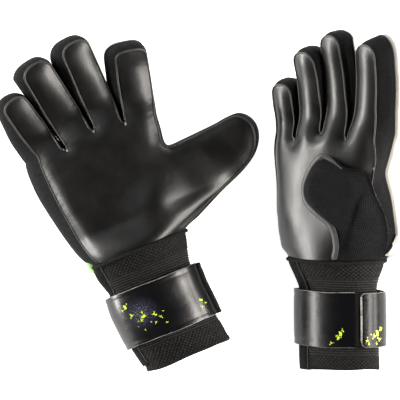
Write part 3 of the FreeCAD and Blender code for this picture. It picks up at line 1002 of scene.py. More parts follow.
def under_thumb(flat, rim, sheet, top, under):
    """Highest place for each point of the palm that lies under the folded thumb."""
    limit = np.full(len(flat), 1e3)
    for index in np.flatnonzero(inside_polygon(flat, rim[:, :2])):
        near = np.sum((sheet.points - flat[index]) ** 2, axis=1)
        closest = np.argpartition(near, 3)[:3]
        limit[index] = min(np.mean(under[closest]), np.mean(top[closest]) - 2.5) - 0.8
    return limit


def build_leaf(glove, rim, sheet, top, under):
    """The folded thumb: mesh outwards, latex against the palm, and the latex edge rolled round its rim."""
    flat = sheet.points
    mesh = glove_mesh(glove, "thumb_mesh_back", np.column_stack((flat, top)), sheet.faces, "side_mesh")
    face = glove_mesh(glove, "thumb_latex_face", np.column_stack((flat, under)), sheet.faces[:, ::-1],
                      "palm_latex")
    line = np.roll(rim, -nearest_to(rim, LEAF[0]), axis=0)
    line = line[:nearest_to(line, LEAF[LEAF_RIM - 1]) + 1]
    edge = line + inward(line[:, :2], 2.2) + np.array((0, 0, 0.4))
    lie = np.tile((-0.35, 0.1, 0.93), (len(line), 1))
    bead = glove_mesh(glove, "thumb_rolled_edge",
                      *tube(edge, 3.0, sides=14, flatten=0.72, up=lie, taper=(0.9, 0.3)), "rolled_edge")
    seam = line + inward(line[:, :2], 5.4)
    seam[:, 2] += 1.2
    welt = glove_mesh(glove, "thumb_seam", *tube(seam, 0.6, sides=6, taper=(1, 0.6)), "thread")
    direction, *reaches = LEAF_BLEND
    ends = [tuple(glove.to_row(glove.knuckle[THUMB] + direction * reach)) for reach in reaches]
    for piece, slot in ((mesh, "side_mesh"), (face, "palm_latex"), (bead, "palm_latex"), (welt, "side_mesh")):
        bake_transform(piece)
    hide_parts("folded_thumb_back", "folded_thumb_gusset")
    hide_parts("folded_thumb_face")


def nearest_to(line, place):
    """Index of the point of a line that is nearest to a place, seen from above."""
    return int(np.argmin(np.linalg.norm(line[:, :2] - np.array(place[:2]), axis=1)))


def inward(line, amount):
    """Steps to the right of a line's run, as 3-D offsets."""
    run = np.gradient(line, axis=0)
    run /= np.linalg.norm(run, axis=1)[:, None]
    return np.column_stack((run[:, 1], -run[:, 0], np.zeros(len(line)))) * amount


# ------------------------------------------------------------------ cuff and strap

# The cuff's width along its length, as shares of the bandage's.
CUFF_SHAPE = ((2, 1.0), (-3, 0.998), (-12, 0.965), (-25, 0.93), (-36, 0.95), (-60, 0.965), (-72, 0.955),
              (-88, 0.95), (-90, 0.945))
KNIT_STEP = 0.62
RIB = 2.05
DIAMOND = 3.7
DIAMOND_SLANT = 1.15

# Between which places along the cuff its diamonds give way to rings, above and below the strap.
UPPER_CHANGE = (-15.5, -13.5)
LOWER_CHANGE = (-80.5, -78.5)


def oval(glove, angle, y, offset, base=BANDAGE):
    """Points on the cuff's oval in the hand frame: degrees from the thumb side, round over the palm."""
    angle = np.radians(angle)
    share = float(smooth(y, -27, 0)) if base is BANDAGE else 0.0
    half = [side * (1 + (flare - 1) * share) for side, flare in zip(base, glove.set["wrist_flare"])]
    lean = np.interp(y, *zip(*glove.set["lean"]))
    return np.column_stack((glove.cuff[0] + lean + (half[0] + offset) * np.cos(angle), y + 0 * angle,
                            glove.cuff[2] + (half[1] + offset) * np.sin(angle)))


def oval_line(glove, angles, ys, offsets, base=BANDAGE):
    """Points on the cuff's oval, each with its own angle, place along the cuff and offset."""
    places = np.broadcast(angles, ys, offsets)
    return np.concatenate([oval(glove, np.array([angle]), y, offset, base) for angle, y, offset in places])


def cuff_offset(y):
    """How far the cuff's outline stands in from the bandage's at a place along it."""
    places, shares = zip(*sorted(CUFF_SHAPE))
    return (np.interp(y, places, shares) - 1) * BANDAGE[0]


def knit_relief(arc, y):
    """Outward height of the knit: fine rings next to the strap, small diamonds above and below them."""
    rings = 0.5 * np.cos(2 * math.pi * y / RIB)
    a, b = (arc + y * DIAMOND_SLANT) / DIAMOND, (arc - y * DIAMOND_SLANT) / DIAMOND
    diamonds = 0.62 * (np.abs(np.sin(math.pi * a) * np.sin(math.pi * b)) * 2 - 1)
    share = smooth(y, *UPPER_CHANGE) + (1 - smooth(y, *LOWER_CHANGE))
    return rings * (1 - share) + diamonds * share


def cuff_sag(radians):
    """How far the worn mouth of the cuff hangs out of true, by the angle round it."""
    return 0.7 * np.sin(radians * 2 + 0.6) + 0.35 * np.sin(radians * 5)


def cuff_wave(radians, y):
    """Slack of the elastic: how far its surface stands off the oval."""
    return 0.5 * np.sin(radians * 3 + y / 17.0) + 0.3 * np.sin(radians * 7 - y / 9.0)


def build_bandage(glove):
    """The knitted elastic sleeve: patterned outside, plain inside, and hemmed at its mouth."""
    around = int(2 * math.pi * 33 / (KNIT_STEP * 1.25))
    angles = np.linspace(0, 360, around, endpoint=False)
    radians = np.radians(angles)
    steps = np.hypot(BANDAGE[0] * np.sin(radians), BANDAGE[1] * np.cos(radians))
    arc = np.cumsum(steps) * 2 * math.pi / around
    arc *= DIAMOND * round(arc[-1] / DIAMOND) / arc[-1]
    end = -glove.cuff_end
    upper, under_strap = np.arange(1.0, -30, -KNIT_STEP), np.arange(-30, -68, -4.0)
    lower, inside = np.arange(-68, end + 0.2, -KNIT_STEP), np.arange(end + 4, 0, 7.0)
    levels = []
    for y in (*upper, *under_strap, *lower):
        hidden = smooth(-y, 30, 34) * (1 - smooth(-y, 64, 68))
        lift = knit_relief(arc, np.full(around, y)) * (1 - hidden)
        hem = 0.5 * math.exp(-((y - end - 1.6) / 1.0) ** 2)
        levels.append((y, cuff_offset(y) + lift + hem + cuff_wave(radians, y) * smooth(-y, 4, 16)))
    for y in (end - 0.5, end, *inside, -1.0):
        levels.append((y, cuff_offset(y) + (-1.4 if y < end else -2.6)))
    rows = []
    for y, offset in levels:
        row = oval(glove, angles, y, offset)
        row[:, 1] += cuff_sag(radians) * smooth(-y, 74, 90)
        rows.append(row)
    uvs = np.concatenate([np.column_stack((arc, np.full(around, y))) for y, _ in levels])
    piece = glove_mesh(glove, "knit_bandage", *lofted(rows, closed=True), "wrist_knit", uvs=uvs)
    finish_piece(piece, glove, "hand", "wrist_knit", "wrist_bandage")


def follow_flap(glove, piece):
    """The strap's loose end only has its place baked into its mesh; its root and free end on the cuff are
    worked out but not used.
    """
    root, free = oval_line(glove, FLAP_BEND, glove.strap_top - STRAP_WIDTH / 2, 0, STRAP)
    ends = [tuple(glove.to_row(end)) for end in (root, free)]
    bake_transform(piece)


def finish_piece(piece, glove, body, slot, *nodes):
    """Attaches a piece of the cuff to the body it moves with, or for the flap only bakes its place, and hides
    the CAD parts that it replaces. The slot is not used.
    """
    if body == "flap":
        follow_flap(glove, piece)
    else:
        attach(piece, f"{glove.name}_{body}")
    if nodes:
        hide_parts(*(f"{glove.name}_{node}" for node in nodes))


def wrapped(glove, label, angles, profile, looks, base=STRAP, edge_faces=(), wobble=0.0):
    """A band that follows the cuff's oval: a closed profile of (y, offset) points swept round part of it."""
    ys, offsets = np.array(profile, float).T
    rows, uvs = [], []
    for angle in angles:
        shift = wobble * (math.sin(angle / 17.0) + 0.5 * math.sin(angle / 7.3))
        rows.append(oval_line(glove, angle, ys + shift, offsets, base))
        arc = math.radians(angle) * (base[0] + base[1]) / 2
        uvs.append(np.column_stack((np.full(len(ys), arc), ys)))
    marks = [int(k in edge_faces) for _ in angles[1:] for k in range(len(ys))]
    return band_mesh(glove, label, rows, uvs, looks, marks + [0, 0])


def band_mesh(glove, label, rows, uvs, looks, face_looks):
    """A closed band through rows of points, with a face across each end."""
    points, faces = lofted(rows, closed=True)
    ring = range(len(rows[0]))
    faces = [tuple(quad) for quad in faces]
    faces.append(tuple(ring)[::-1])
    faces.append(tuple(len(points) - len(ring) + k for k in ring))
    piece = glove_mesh(glove, label, points, faces, *looks, uvs=np.concatenate(uvs), face_looks=face_looks)
    split_sharp(piece, 40)
    return piece


def split_sharp(piece, degrees):
    """Keeps cut edges crisp on a smooth-shaded piece."""
    net = bmesh.new()
    net.from_mesh(piece.data)
    bmesh.ops.recalc_face_normals(net, faces=net.faces)
    for edge in net.edges:
        if len(edge.link_faces) == 2 and edge.calc_face_angle(0) > math.radians(degrees):
            edge.smooth = False
    net.to_mesh(piece.data)
    net.free()


def strap_profile(top, width, skin, thick):
    """Section of the padded strap: white slanting cut edges, a pressed stitch line and a soft middle."""
    half = [(0.0, skin - 1.5), (-0.35, skin - 0.15), (-2.0, skin), (-3.3, skin - 0.12), (-4.2, skin - 0.14),
            (-5.6, skin + 0.04), (-8, skin + 0.18), (-12, skin + 0.27), (-17, skin + 0.3)]
    outer = half + [(-width / 2, skin + 0.32)] + [(-width - y, offset) for y, offset in reversed(half)]
    inner = [(-width * share, skin - thick) for share in (1, 0.66, 0.33, 0)]
    profile = [(top + y, offset) for y, offset in outer + inner]
    edges = (0, len(outer) - 2, len(outer) - 1, len(profile) - 1)
    return profile, edges


def build_strap(glove):
    """The wrist strap, its peeling flap, and the loop and hook patches that hold it."""
    top, low, end = glove.strap_top, glove.strap_top - STRAP_WIDTH, glove.set["band_end"]
    profile, edges = strap_profile(top, STRAP_WIDTH, -0.1, STRAP_THICK)
    band = wrapped(glove, "strap_main", np.linspace(end, BAND_ROOT, 130), profile,
                   (f"{glove.name}_coated", "cut_edge"), edge_faces=edges, wobble=0.25)
    finish_piece(band, glove, "hand", "strap_coated", "strap_band")

    flap = build_flap(glove)
    finish_piece(flap, glove, "flap", "strap_coated", "strap_flap")

    patch = [(top - 2, 0.6), (top - 3, 2.3), (low + 3, 2.3), (low + 2, 0.6), (low + 2, -0.4), (top - 2, -0.4)]
    loops = wrapped(glove, "loop_pile", np.linspace(LOOP_START, end + 12, 40), subdivided(patch, 1.5),
                    ("loop_pile",), base=BANDAGE)
    roughen(loops, 0.22, 1.1)
    finish_piece(loops, glove, "hand", "loop_pile", "loop_patch")

    patch = [(top - 5, 0.0), (low + 5, 0.0), (low + 5, -0.8), (top - 5, -0.8)]
    hooks = wrapped(glove, "hook_tape", np.linspace(HOOK_START, glove.set["flap_end"] - 2.5, 16),
                    subdivided(patch, 1.5), ("hook_tape",), base=FLAP)
    finish_piece(hooks, glove, "flap", "hook_tape", "hook_patch")


def subdivided(profile, step):
    """A closed profile with extra points along its long sides."""
    points = []
    for (y0, o0), (y1, o1) in zip(profile, profile[1:] + profile[:1]):
        number = max(1, int(math.hypot(y1 - y0, o1 - o0) / step))
        points += [(y0 + (y1 - y0) * k / number, o0 + (o1 - o0) * k / number) for k in range(number)]
    return points


def roughen(piece, amount, scale):
    """Uneven fuzz on a patch's surface."""
    for vertex in piece.data.vertices:
        place = vertex.co / (scale * MM)
        vertex.co += vertex.normal * noise.noise(place) * amount * MM
    piece.data.update()


def build_flap(glove):
    """The strap's loose end, with its corners rounded and its cut edge showing all round."""
    first, last = FLAP_ROOT, glove.set["flap_end"]
    angles = np.linspace(first, last, 34)
    length = math.radians(last - first) * 40
    rows, uvs = [], []
    for angle in angles:
        left = (last - angle) / (last - first) * length
        cut = FLAP_CORNER - math.sqrt(FLAP_CORNER ** 2 - max(FLAP_CORNER - left, 0) ** 2)
        top = glove.strap_top - 0.4 - cut * 0.55
        profile, edges = strap_profile(top, STRAP_WIDTH - 0.6 - cut * 1.35, 1.6, 1.6)
        ys, offsets = np.array(profile).T
        if angle == angles[-1]:
            offsets = np.where(offsets > 1.0, offsets - 1.2, offsets)
        rows.append(oval_line(glove, angle, ys, offsets + 0.15, FLAP))
        uvs.append(np.column_stack((np.full(len(ys), math.radians(angle) * 35), ys)))
    count, strips = len(ys), len(angles) - 1
    marks = [int(k in edges or i == strips - 1 and 0 < k < count - 5)
             for i in range(strips) for k in range(count)]
    return band_mesh(glove, "strap_loose_end", rows, uvs, glove.set["flap_looks"], marks + [0, 1])


def build_stitches(glove, label, body, lines, length=2.3, gap=1.1, radius=0.28):
    """Rows of single stitches along lines on the strap, each lying a little proud."""
    stitches = []
    for line in lines:
        steps, up = distance_along(line), oval_up(glove, line)
        for start in np.arange(gap, steps[-1] - length, length + gap):
            marks = np.linspace(start, start + length, 4)
            run, ups = (np.column_stack([np.interp(marks, steps, way[:, k]) for k in range(3)])
                        for way in (line, up))
            run += ups * (np.array((-0.25, 0.22, 0.22, -0.25)) * radius * 2)[:, None]
            stitches.append(tube(run, radius, sides=5, up=ups))
    piece = glove_mesh(glove, label, *joined(stitches), "thread")
    finish_piece(piece, glove, body, "strap_coated")


def oval_up(glove, line, base=STRAP):
    """Outward directions of the cuff's oval at points on it."""
    out = np.column_stack(((line[:, 0] - glove.cuff[0]) / base[0] ** 2, np.zeros(len(line)),
                           (line[:, 2] - glove.cuff[2]) / base[1] ** 2))
    return out / np.linalg.norm(out, axis=1)[:, None]


def build_strap_stitches(glove):
    """Stitches along the strap's two edges, and round its loose end."""
    top, low, last = glove.strap_top, glove.strap_top - STRAP_WIDTH, glove.set["flap_end"]
    band = np.linspace(glove.set["band_end"] + 1, BAND_ROOT - 1, 320)
    lines = [oval(glove, band, y, -0.45) for y in (top - 3.6, low + 3.6)]
    build_stitches(glove, "strap_stitches", "hand", lines)
    flap = np.linspace(FLAP_ROOT + 1, last - 6, 40)
    lines = [oval(glove, flap, y, 1.35, FLAP) for y in (top - 4.2, low + 4.2)]
    lines.append(oval_line(glove, last - 5.0, np.linspace(top - 6.5, low + 6.5, 30), 2.15, FLAP))
    build_stitches(glove, "flap_stitches", "flap", lines)


def down_the_cuff(first, low, last):
    """Places along the cuff, closer together near its ends than under the strap."""
    spans = ((first, -26, -2.0), (-26, low, -6.0), (low, last, -2.0))
    return np.concatenate([np.arange(*span) for span in spans])


def build_side_strip(glove):
    """The plain dark strip down the little-finger side of the cuff."""
    angles = np.linspace(*glove.set["strip_span"], 16)
    arch = 1.5 * np.sin(np.linspace(0, math.pi, len(angles))) ** 0.6
    places = down_the_cuff(1.5, -72, -92.5)
    rows = []
    for y in places:
        bulge = arch * (1 + glove.set["strip_heel"] * math.exp(-((y + 11) / 9) ** 2))
        tucked = smooth(-y, 22, 27) * (1 - smooth(-y, 70, 75))
        rows.append(oval(glove, angles, y, cuff_offset(y) + 0.3 + bulge * (1 - 0.6 * tucked)))
    rows.append(oval(glove, angles, -92.0, cuff_offset(-90) - 2.0))
    rows.append(oval(glove, angles, -86.0, cuff_offset(-90) - 3.2))
    uvs = [np.column_stack((angles * 0.6, np.full(len(angles), y))) for y in (*places, -93.0, -97.0)]
    piece = glove_mesh(glove, "side_strip", *lofted(rows), "side_strip", uvs=np.concatenate(uvs))
    finish_piece(piece, glove, "hand", "side_strip", "cuff_side_strip")
    places = down_the_cuff(0, -70, -91)
    for number, angle in enumerate(glove.set["strip_span"]):
        line = oval_line(glove, angle, places, cuff_offset(places) + 0.55)
        bead = tube(line, 0.75, sides=7, up=oval_up(glove, line))
        welt = glove_mesh(glove, f"strip_welt_{number + 1}", *bead, "thread")
        finish_piece(welt, glove, "hand", "side_strip")


def build_binding(glove):
    """Tape over the seam between hand and cuff, and the tape round the cuff's mouth."""
    angles = np.linspace(0, 360, 150, endpoint=False)
    radians = np.radians(angles)
    mouth = 0.2 - glove.cuff_end
    for label, y, offset, radius, nodes in (
            ("wrist_binding_tape", -0.6, 2.1, 1.35, ("wrist_binding",)),
            ("mouth_tape", mouth, cuff_offset(mouth) + cuff_wave(radians, mouth), 0.9, ())):
        line = oval(glove, angles, y, offset)
        line[:, 1] += 0.3 * np.sin(radians * 4) if nodes else cuff_sag(radians)
        bead = tube(line, radius, sides=10, closed=True, flatten=0.75, up=oval_up(glove, line))
        uvs = np.column_stack((np.repeat(angles * 0.6, 10), np.tile(np.arange(10) * 1.2, len(angles))))
        piece = glove_mesh(glove, label, *bead, "binding_tape", uvs=uvs)
        finish_piece(piece, glove, "hand", "binding_tape", *nodes)


def build_lining(glove):
    """The towelling sleeve inside, which shows through the cuff's mouth."""
    angles = np.linspace(0, 360, 72, endpoint=False)
    radians = np.radians(angles)
    rows, uvs = [], []
    for y in (*np.arange(-6.0, 60, 3.0), 66, 70, 72):
        share = smooth(y, 0, 50)
        close = math.sqrt(max(1 - (max(y - 40, 0) / 32.5) ** 2, 0.0004))
        half_x = (BANDAGE[0] - 3.4) * (1 - share) + 36 * share
        half_z = (BANDAGE[1] - 3.4) * (1 - share) + 10.5 * share
        centre = glove.cuff * (1 - share)
        wave = 0.25 * np.sin(radians * 23 + y) + 0.25 * np.sin(radians * 31 - y * 2)
        rows.append(np.column_stack((centre[0] + (half_x * close + wave) * np.cos(radians), np.full(72, y),
                                     centre[2] + (half_z * close + wave) * np.sin(radians))))
        uvs.append(np.column_stack((angles * 0.6, np.full(72, y))))
    points, faces = lofted(rows, closed=True)
    piece = glove_mesh(glove, "towelling_sleeve", points, faces[:, ::-1], "lining_towel",
                       uvs=np.concatenate(uvs))
    finish_piece(piece, glove, "hand", "lining_towel", "lining")


# ------------------------------------------------------------------ small things on the seams

# The folded glove's web is tacked here too.
WEB_TACK = (51, 79)


def build_bar_tacks(glove, rim):
    """Thread tacks that lock the seam between the fingers, in a pale grey that paints the glints on them."""
    threads = []
    posed = pose(glove, front_rim_points(glove, rim), rim.digit)
    for bottom in CROTCHES + ((WEB_TACK,) if glove.name == "folded" else ()):
        centre = posed[nearest_to(rim.points, bottom)] + np.array((0, -1.2, 0.9))
        for step in (-0.55, 0, 0.55):
            line = centre + np.array([(step * 0.8, k, 0.25 * math.cos(k)) for k in np.linspace(-1.0, 1.0, 5)])
            threads.append(tube(line, 0.27, sides=6))
    piece = glove_mesh(glove, "bar_tacks", *joined(threads), "white_thread")
    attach(piece, f"{glove.name}_hand")


ACCENT = ((-37, 4), (-43, 13), (-46.5, 9), (-47.5, 2), (-45, -5), (-41, -8), (-37, -4))


def build_accent(glove):
    """The pale green corner of the backhand that stands out beside the wrist."""
    outline = spline(ACCENT, 1.0, closed=True)
    sheet = Sheet(outline, len(outline), 1.2)
    flat = sheet.points
    puff = 1.6 * (1 - np.exp(-sheet.swell / 2.0))
    level = -2.0 - 0.18 * flat[:, 1]
    points = np.concatenate([np.column_stack((flat, height)) for height in (level + puff, level - puff)])
    faces = np.concatenate((sheet.faces, sheet.faces[:, ::-1] + len(flat)))
    piece = glove_mesh(glove, "backhand_corner", points, faces, "green_foam")
    finish_piece(piece, glove, "hand", "back_foam")


# Splashes of ink on the strap: angle round the cuff, distance below the strap's top, and size in millimetres.
SPLASHES = {
    "open": {"hand": ((131, 11.5, 2.6), (137, 14, 1.2), (127, 20.5, 2.3), (113, 24.5, 3.2), (118, 27.5, 1.5),
                      (101, 26, 2.2), (95, 30, 1.5), (90, 26.5, 0.8), (103, 33, 1.2), (108, 31.5, 0.8),
                      (92, 36.5, 1.1), (122, 27, 0.9), (119, 35.5, 1.0), (125, 31, 0.6), (40, 30.5, 2.2),
                      (44, 35.5, 1.5), (36, 33.5, 1.3)),
             "flap": ()},
    "folded": {"hand": ((61, 33.5, 2.6), (64, 37, 2.4), (73, 42, 1.7), (59, 31, 1.2)),
               "flap": ((9, 33, 3.6), (2, 30, 2.4), (15, 36, 2.6), (26, 39.5, 2.3), (24, 42.5, 1.4),
                        (11, 42, 1.5), (20, 34.5, 1.2), (5, 39, 2.6))},
}
DROPS = 5
DROP_SIDES = 14


def splash_drop(seed, drop, size):
    """Flat outline of one ragged drop of a splash, with its centre first."""
    turn_by = seed * 2.4 + drop * 1.9
    spread = size * (0 if drop == 0 else 0.75 + 0.3 * math.sin(seed * 7 + drop * 3))
    radius = size * (0.62 if drop == 0 else 0.30 + 0.12 * math.cos(seed * 5 + drop * 11))
    centre = np.array((spread * math.cos(turn_by), spread * math.sin(turn_by)))
    points = [centre]
    for k in range(DROP_SIDES):
        bearing = 2 * math.pi * k / DROP_SIDES
        x, y = math.cos(bearing), math.sin(bearing)
        rough = noise.noise(Vector((x * 1.6 + seed, y * 1.6 + drop * 3, 0.5)))
        points.append(centre + radius * (0.72 + 0.5 * rough) * np.array((x, y)))
    return np.array(points)


def build_splashes(glove):
    """Ragged neon splashes printed on the strap, a hair above its surface."""
    fan = [(0, 1 + (k + 1) % DROP_SIDES, 1 + k) for k in range(DROP_SIDES)]
    for body, places in SPLASHES[glove.name].items():
        if not places:
            continue
        base, skin = (STRAP, -0.1) if body == "hand" else (FLAP, 1.75)
        profile, _ = strap_profile(0, STRAP_WIDTH, skin, STRAP_THICK)
        ys, lifts = zip(*profile[:19])
        drops = []
        for seed, (angle, depth, size) in enumerate(places):
            for drop in range(DROPS):
                flat = splash_drop(seed, drop, size)
                turned = angle - np.degrees(flat[:, 0] / 36.0)
                down = np.clip(depth + flat[:, 1], 1.3, STRAP_WIDTH - 1.3)
                lift = np.interp(down, -np.array(ys), lifts) + 0.09
                drops.append((oval_line(glove, turned, glove.strap_top - down, lift, base), fan))
        piece = glove_mesh(glove, f"{body}_splashes", *joined(drops), "neon_ink")
        finish_piece(piece, glove, body, "strap_coated")


# ------------------------------------------------------------------ materials

class Paint:
    """A procedural material. Its patterns use the cloth map, where 1 is 100 mm."""

    def __init__(self, name, colour, roughness, **settings):
        self.material = bpy.data.materials.new(name)
        self.material.use_nodes = True
        self.nodes, self.links = self.material.node_tree.nodes, self.material.node_tree.links
        self.shader = self.nodes["Principled BSDF"]
        self.shader.inputs["Base Color"].default_value = (*colour, 1)
        self.shader.inputs["Roughness"].default_value = roughness
        for socket, value in settings.items():
            self.shader.inputs[socket.replace("_", " ")].default_value = value
        self.place = self.add("ShaderNodeTexCoord").outputs["UV"]
        self.bumps = None

    def add(self, kind, inputs=(), **properties):
        node = self.nodes.new(kind)
        for key, value in properties.items():
            setattr(node, key, value)
        for socket, value in dict(inputs).items():
            if isinstance(value, bpy.types.NodeSocket):
                self.links.new(value, node.inputs[socket])
            else:
                node.inputs[socket].default_value = value
        return node

    def math(self, operation, first, second=0.0):
        return self.add("ShaderNodeMath", {0: first, 1: second}, operation=operation).outputs[0]

    def grain(self, size, detail=2.0, rough=0.55, stretch=(1, 1)):
        """Noise with features of about `size` millimetres."""
        place = self.place
        if stretch != (1, 1):
            place = self.add("ShaderNodeMapping", {"Vector": place, "Scale": (*stretch, 1)}).outputs[0]
        return self.add("ShaderNodeTexNoise", {"Vector": place, "Scale": 100 / size, "Detail": detail,
                                               "Roughness": rough}).outputs["Fac"]

    def loops(self, across, along, turned=0.0):
        """0 to 1 over a grid of rounded loops, `across` by `along` millimetres."""
        mapped = self.add("ShaderNodeMapping", {"Vector": self.place, "Rotation": (0, 0, turned),
                                                "Scale": (math.pi * 100 / across, math.pi * 100 / along, 1)})
        parts = self.add("ShaderNodeSeparateXYZ", {0: mapped.outputs[0]})
        waves = [self.math("ABSOLUTE", self.math("SINE", parts.outputs[k])) for k in (0, 1)]
        return self.math("MULTIPLY", *waves)

    def between(self, amount, low, high, start=0.0, end=1.0):
        """A number running from low to high as the amount runs from start to end."""
        return self.add("ShaderNodeMapRange", {0: amount, 1: start, 2: end, 3: low, 4: high}).outputs[0]

    def colours(self, amount, *stops):
        ramp = self.add("ShaderNodeValToRGB", {0: amount})
        band = ramp.color_ramp
        while len(band.elements) < len(stops):
            band.elements.new(0.5)
        for element, (place, colour) in zip(band.elements, stops):
            element.position = place
            element.color = (*colour, 1)
        return ramp.outputs[0]

    def set(self, socket, value):
        self.links.new(value, self.shader.inputs[socket])

    def bump(self, height, strength, distance):
        inputs = {"Height": height, "Strength": strength, "Distance": distance}
        if self.bumps is not None:
            inputs["Normal"] = self.bumps
        self.bumps = self.add("ShaderNodeBump", inputs).outputs[0]
        self.set("Normal", self.bumps)


def latex_paint(name, low, high, rough):
    paint = Paint(name, low, rough)
    slow, fine = paint.grain(22, 3.0), paint.grain(0.55, 2.0)
    paint.set("Base Color", paint.colours(slow, (0.3, low), (0.7, high)))
    marks = paint.grain(5, 4.0, 0.7, (1, 0.35))
    paint.set("Roughness", paint.math("ADD", paint.between(slow, rough - 0.05, rough + 0.05, 0.3, 0.7),
                                      paint.between(marks, 0.0, 0.10, 0.55, 0.75)))
    paint.bump(fine, 0.10, 0.0004)
    paint.bump(paint.grain(3.2, 3.0), 0.10, 0.0008)
    return paint.material


def mesh_paint(name, low, high, size):
    paint = Paint(name, low, 0.85, Specular_IOR_Level=0.16)
    loops = paint.loops(size * 0.8, size)
    shade = paint.math("MULTIPLY", loops, paint.between(paint.grain(9, 3.0), 0.5, 1.25, 0.3, 0.7))
    paint.set("Base Color", paint.colours(shade, (0.1, low), (0.95, high)))
    paint.set("Roughness", paint.between(paint.grain(2.5), 0.72, 0.92, 0.3, 0.7))
    paint.bump(loops, 0.6, 0.0006)
    paint.bump(paint.grain(2.4, 3.0, 0.6, (2.4, 0.35)), 0.35, 0.0008)
    return paint.material


def foam_paint(name, low, high):
    paint = Paint(name, low, 0.7)
    paint.set("Base Color", paint.colours(paint.grain(14, 4.0), (0.3, low), (0.7, high)))
    paint.set("Roughness", paint.between(paint.grain(3), 0.6, 0.8, 0.3, 0.7))
    paint.bump(paint.grain(0.7, 2.0), 0.25, 0.0004)
    paint.bump(paint.grain(6, 3.0), 0.15, 0.001)
    return paint.material


def knit_paint(name):
    """Elastic knit: pale-edged ridges over dark gaps, in rings beside the strap and small diamonds beyond.
    The gaps' darker colour is painted shade.
    """
    paint = Paint(name, (0.012, 0.012, 0.012), 0.8, Specular_IOR_Level=0.25)
    parts = paint.add("ShaderNodeSeparateXYZ", {0: paint.place})
    arc, down = paint.math("MULTIPLY", parts.outputs[0], 100), paint.math("MULTIPLY", parts.outputs[1], 100)
    slant = paint.math("MULTIPLY", down, DIAMOND_SLANT)
    waves = [paint.math("SINE", paint.math("MULTIPLY", paint.math(way, arc, slant), math.pi / DIAMOND))
             for way in ("ADD", "SUBTRACT")]
    diamonds = paint.math("ABSOLUTE", paint.math("MULTIPLY", *waves))
    wave = paint.math("COSINE", paint.math("MULTIPLY", down, 2 * math.pi / RIB))
    rings = paint.math("ADD", paint.math("MULTIPLY", wave, 0.5), 0.5)
    upper = paint.between(down, 0.0, 1.0, *UPPER_CHANGE)
    lower = paint.between(down, 1.0, 0.0, *LOWER_CHANGE)
    share = paint.math("ADD", upper, lower)
    ridges = paint.math("ADD", paint.math("MULTIPLY", diamonds, share),
                        paint.math("MULTIPLY", rings, paint.math("SUBTRACT", 1.0, share)))
    loops = paint.loops(0.9, 0.9)
    worn = paint.math("MULTIPLY", ridges, paint.between(paint.grain(1.3, 2.0), 0.55, 1.3, 0.35, 0.65))
    # worn carries the ridges' painted shade, darker in the gaps between them and lighter on them, as well as
    # a random unevenness.
    paint.set("Base Color", paint.colours(
        worn, (0.15, (0.002, 0.002, 0.002)), (0.55, (0.0045, 0.0045, 0.0042)), (0.92, (0.029, 0.028, 0.026))))
    paint.set("Roughness", paint.between(paint.grain(3), 0.7, 0.9, 0.3, 0.7))
    paint.bump(loops, 0.4, 0.0004)
    return paint.material


def coated_paint(name, scuff_and_sheen_place, shine):
    """Glossy coated fabric, with a bluish patch at a place on the strap's own map: wear, whose colour also
    paints a soft sheen.
    """
    paint = Paint(name, (0.004, 0.004, 0.005), 0.28, Coat_Weight=0.15 * shine, Coat_Roughness=0.2,
                  Specular_IOR_Level=shine)
    offset = paint.add("ShaderNodeVectorMath", {0: paint.place, 1: (scuff_and_sheen_place[0] * 0.01, scuff_and_sheen_place[1] * 0.01, 0)},
                       operation="DISTANCE").outputs["Value"]
    near = paint.between(offset, 1.0, 0.0, 0.03, 0.15)
    scuff_and_sheen = paint.math("MULTIPLY", near, paint.between(paint.grain(1.1, 4.0, 0.75), 0.0, 1.0, 0.45, 0.63))
    slow = paint.grain(18, 3.0)
    # Painted sheen: the bluish patch lifts the black coating's colour towards pale grey, standing in for a
    # soft highlight on top of the wear.
    paint.set("Base Color", paint.colours(
        scuff_and_sheen, (0.0, (0.0035, 0.0035, 0.0045)), (0.3, (0.022, 0.024, 0.045)), (1.0, (0.20, 0.21, 0.27))))
    paint.set("Roughness", paint.math("ADD", paint.between(slow, 0.25, 0.32, 0.3, 0.7),
                                      paint.math("MULTIPLY", near, paint.between(scuff_and_sheen, 0.06, 0.28))))
    paint.bump(paint.grain(0.9, 2.0), 0.08, 0.0004)
    paint.bump(paint.grain(7, 2.0), 0.10, 0.0014)
    return paint.material


def thread_paint(name, low, high):
    paint = Paint(name, low, 0.6)
    twist = paint.loops(0.5, 0.9, 0.6)
    paint.set("Base Color", paint.colours(twist, (0.2, low), (0.9, high)))
    paint.bump(twist, 0.4, 0.0003)
    return paint.material


def pile_paint(name, low, high, size):
    paint = Paint(name, low, 0.9, Specular_IOR_Level=0.2)
    fuzz = paint.grain(size, 4.0, 0.75)
    paint.set("Base Color", paint.colours(fuzz, (0.35, low), (0.7, high)))
    paint.bump(fuzz, 0.9, 0.0009)
    return paint.material


def edge_paint(name, low, high):
    """Raw cut foam: pale, with painted shade in its pits and a little dirt."""
    paint = Paint(name, low, 0.8)
    pits, dirt = paint.grain(1.2, 4.0, 0.7), paint.grain(9, 3.0)
    pits = paint.math("MULTIPLY", pits, paint.between(dirt, 0.75, 1.25, 0.3, 0.7))
    # Painted shade: the pits that the bump sinks are coloured darker, and the dirt varies how dark.
    paint.set("Base Color", paint.colours(pits, (0.32, low), (0.55, high)))
    paint.bump(pits, 0.5, 0.0005)
    return paint.material


def ink_paint(name):
    paint = Paint(name, (0.62, 0.9, 0.03), 0.42)
    worn = paint.grain(1.4, 4.0, 0.7)
    paint.set("Base Color", paint.colours(worn, (0.3, (0.36, 0.52, 0.02)), (0.5, (0.66, 0.86, 0.03)),
                                          (0.75, (0.85, 0.98, 0.22))))
    paint.bump(worn, 0.2, 0.0003)
    return paint.material


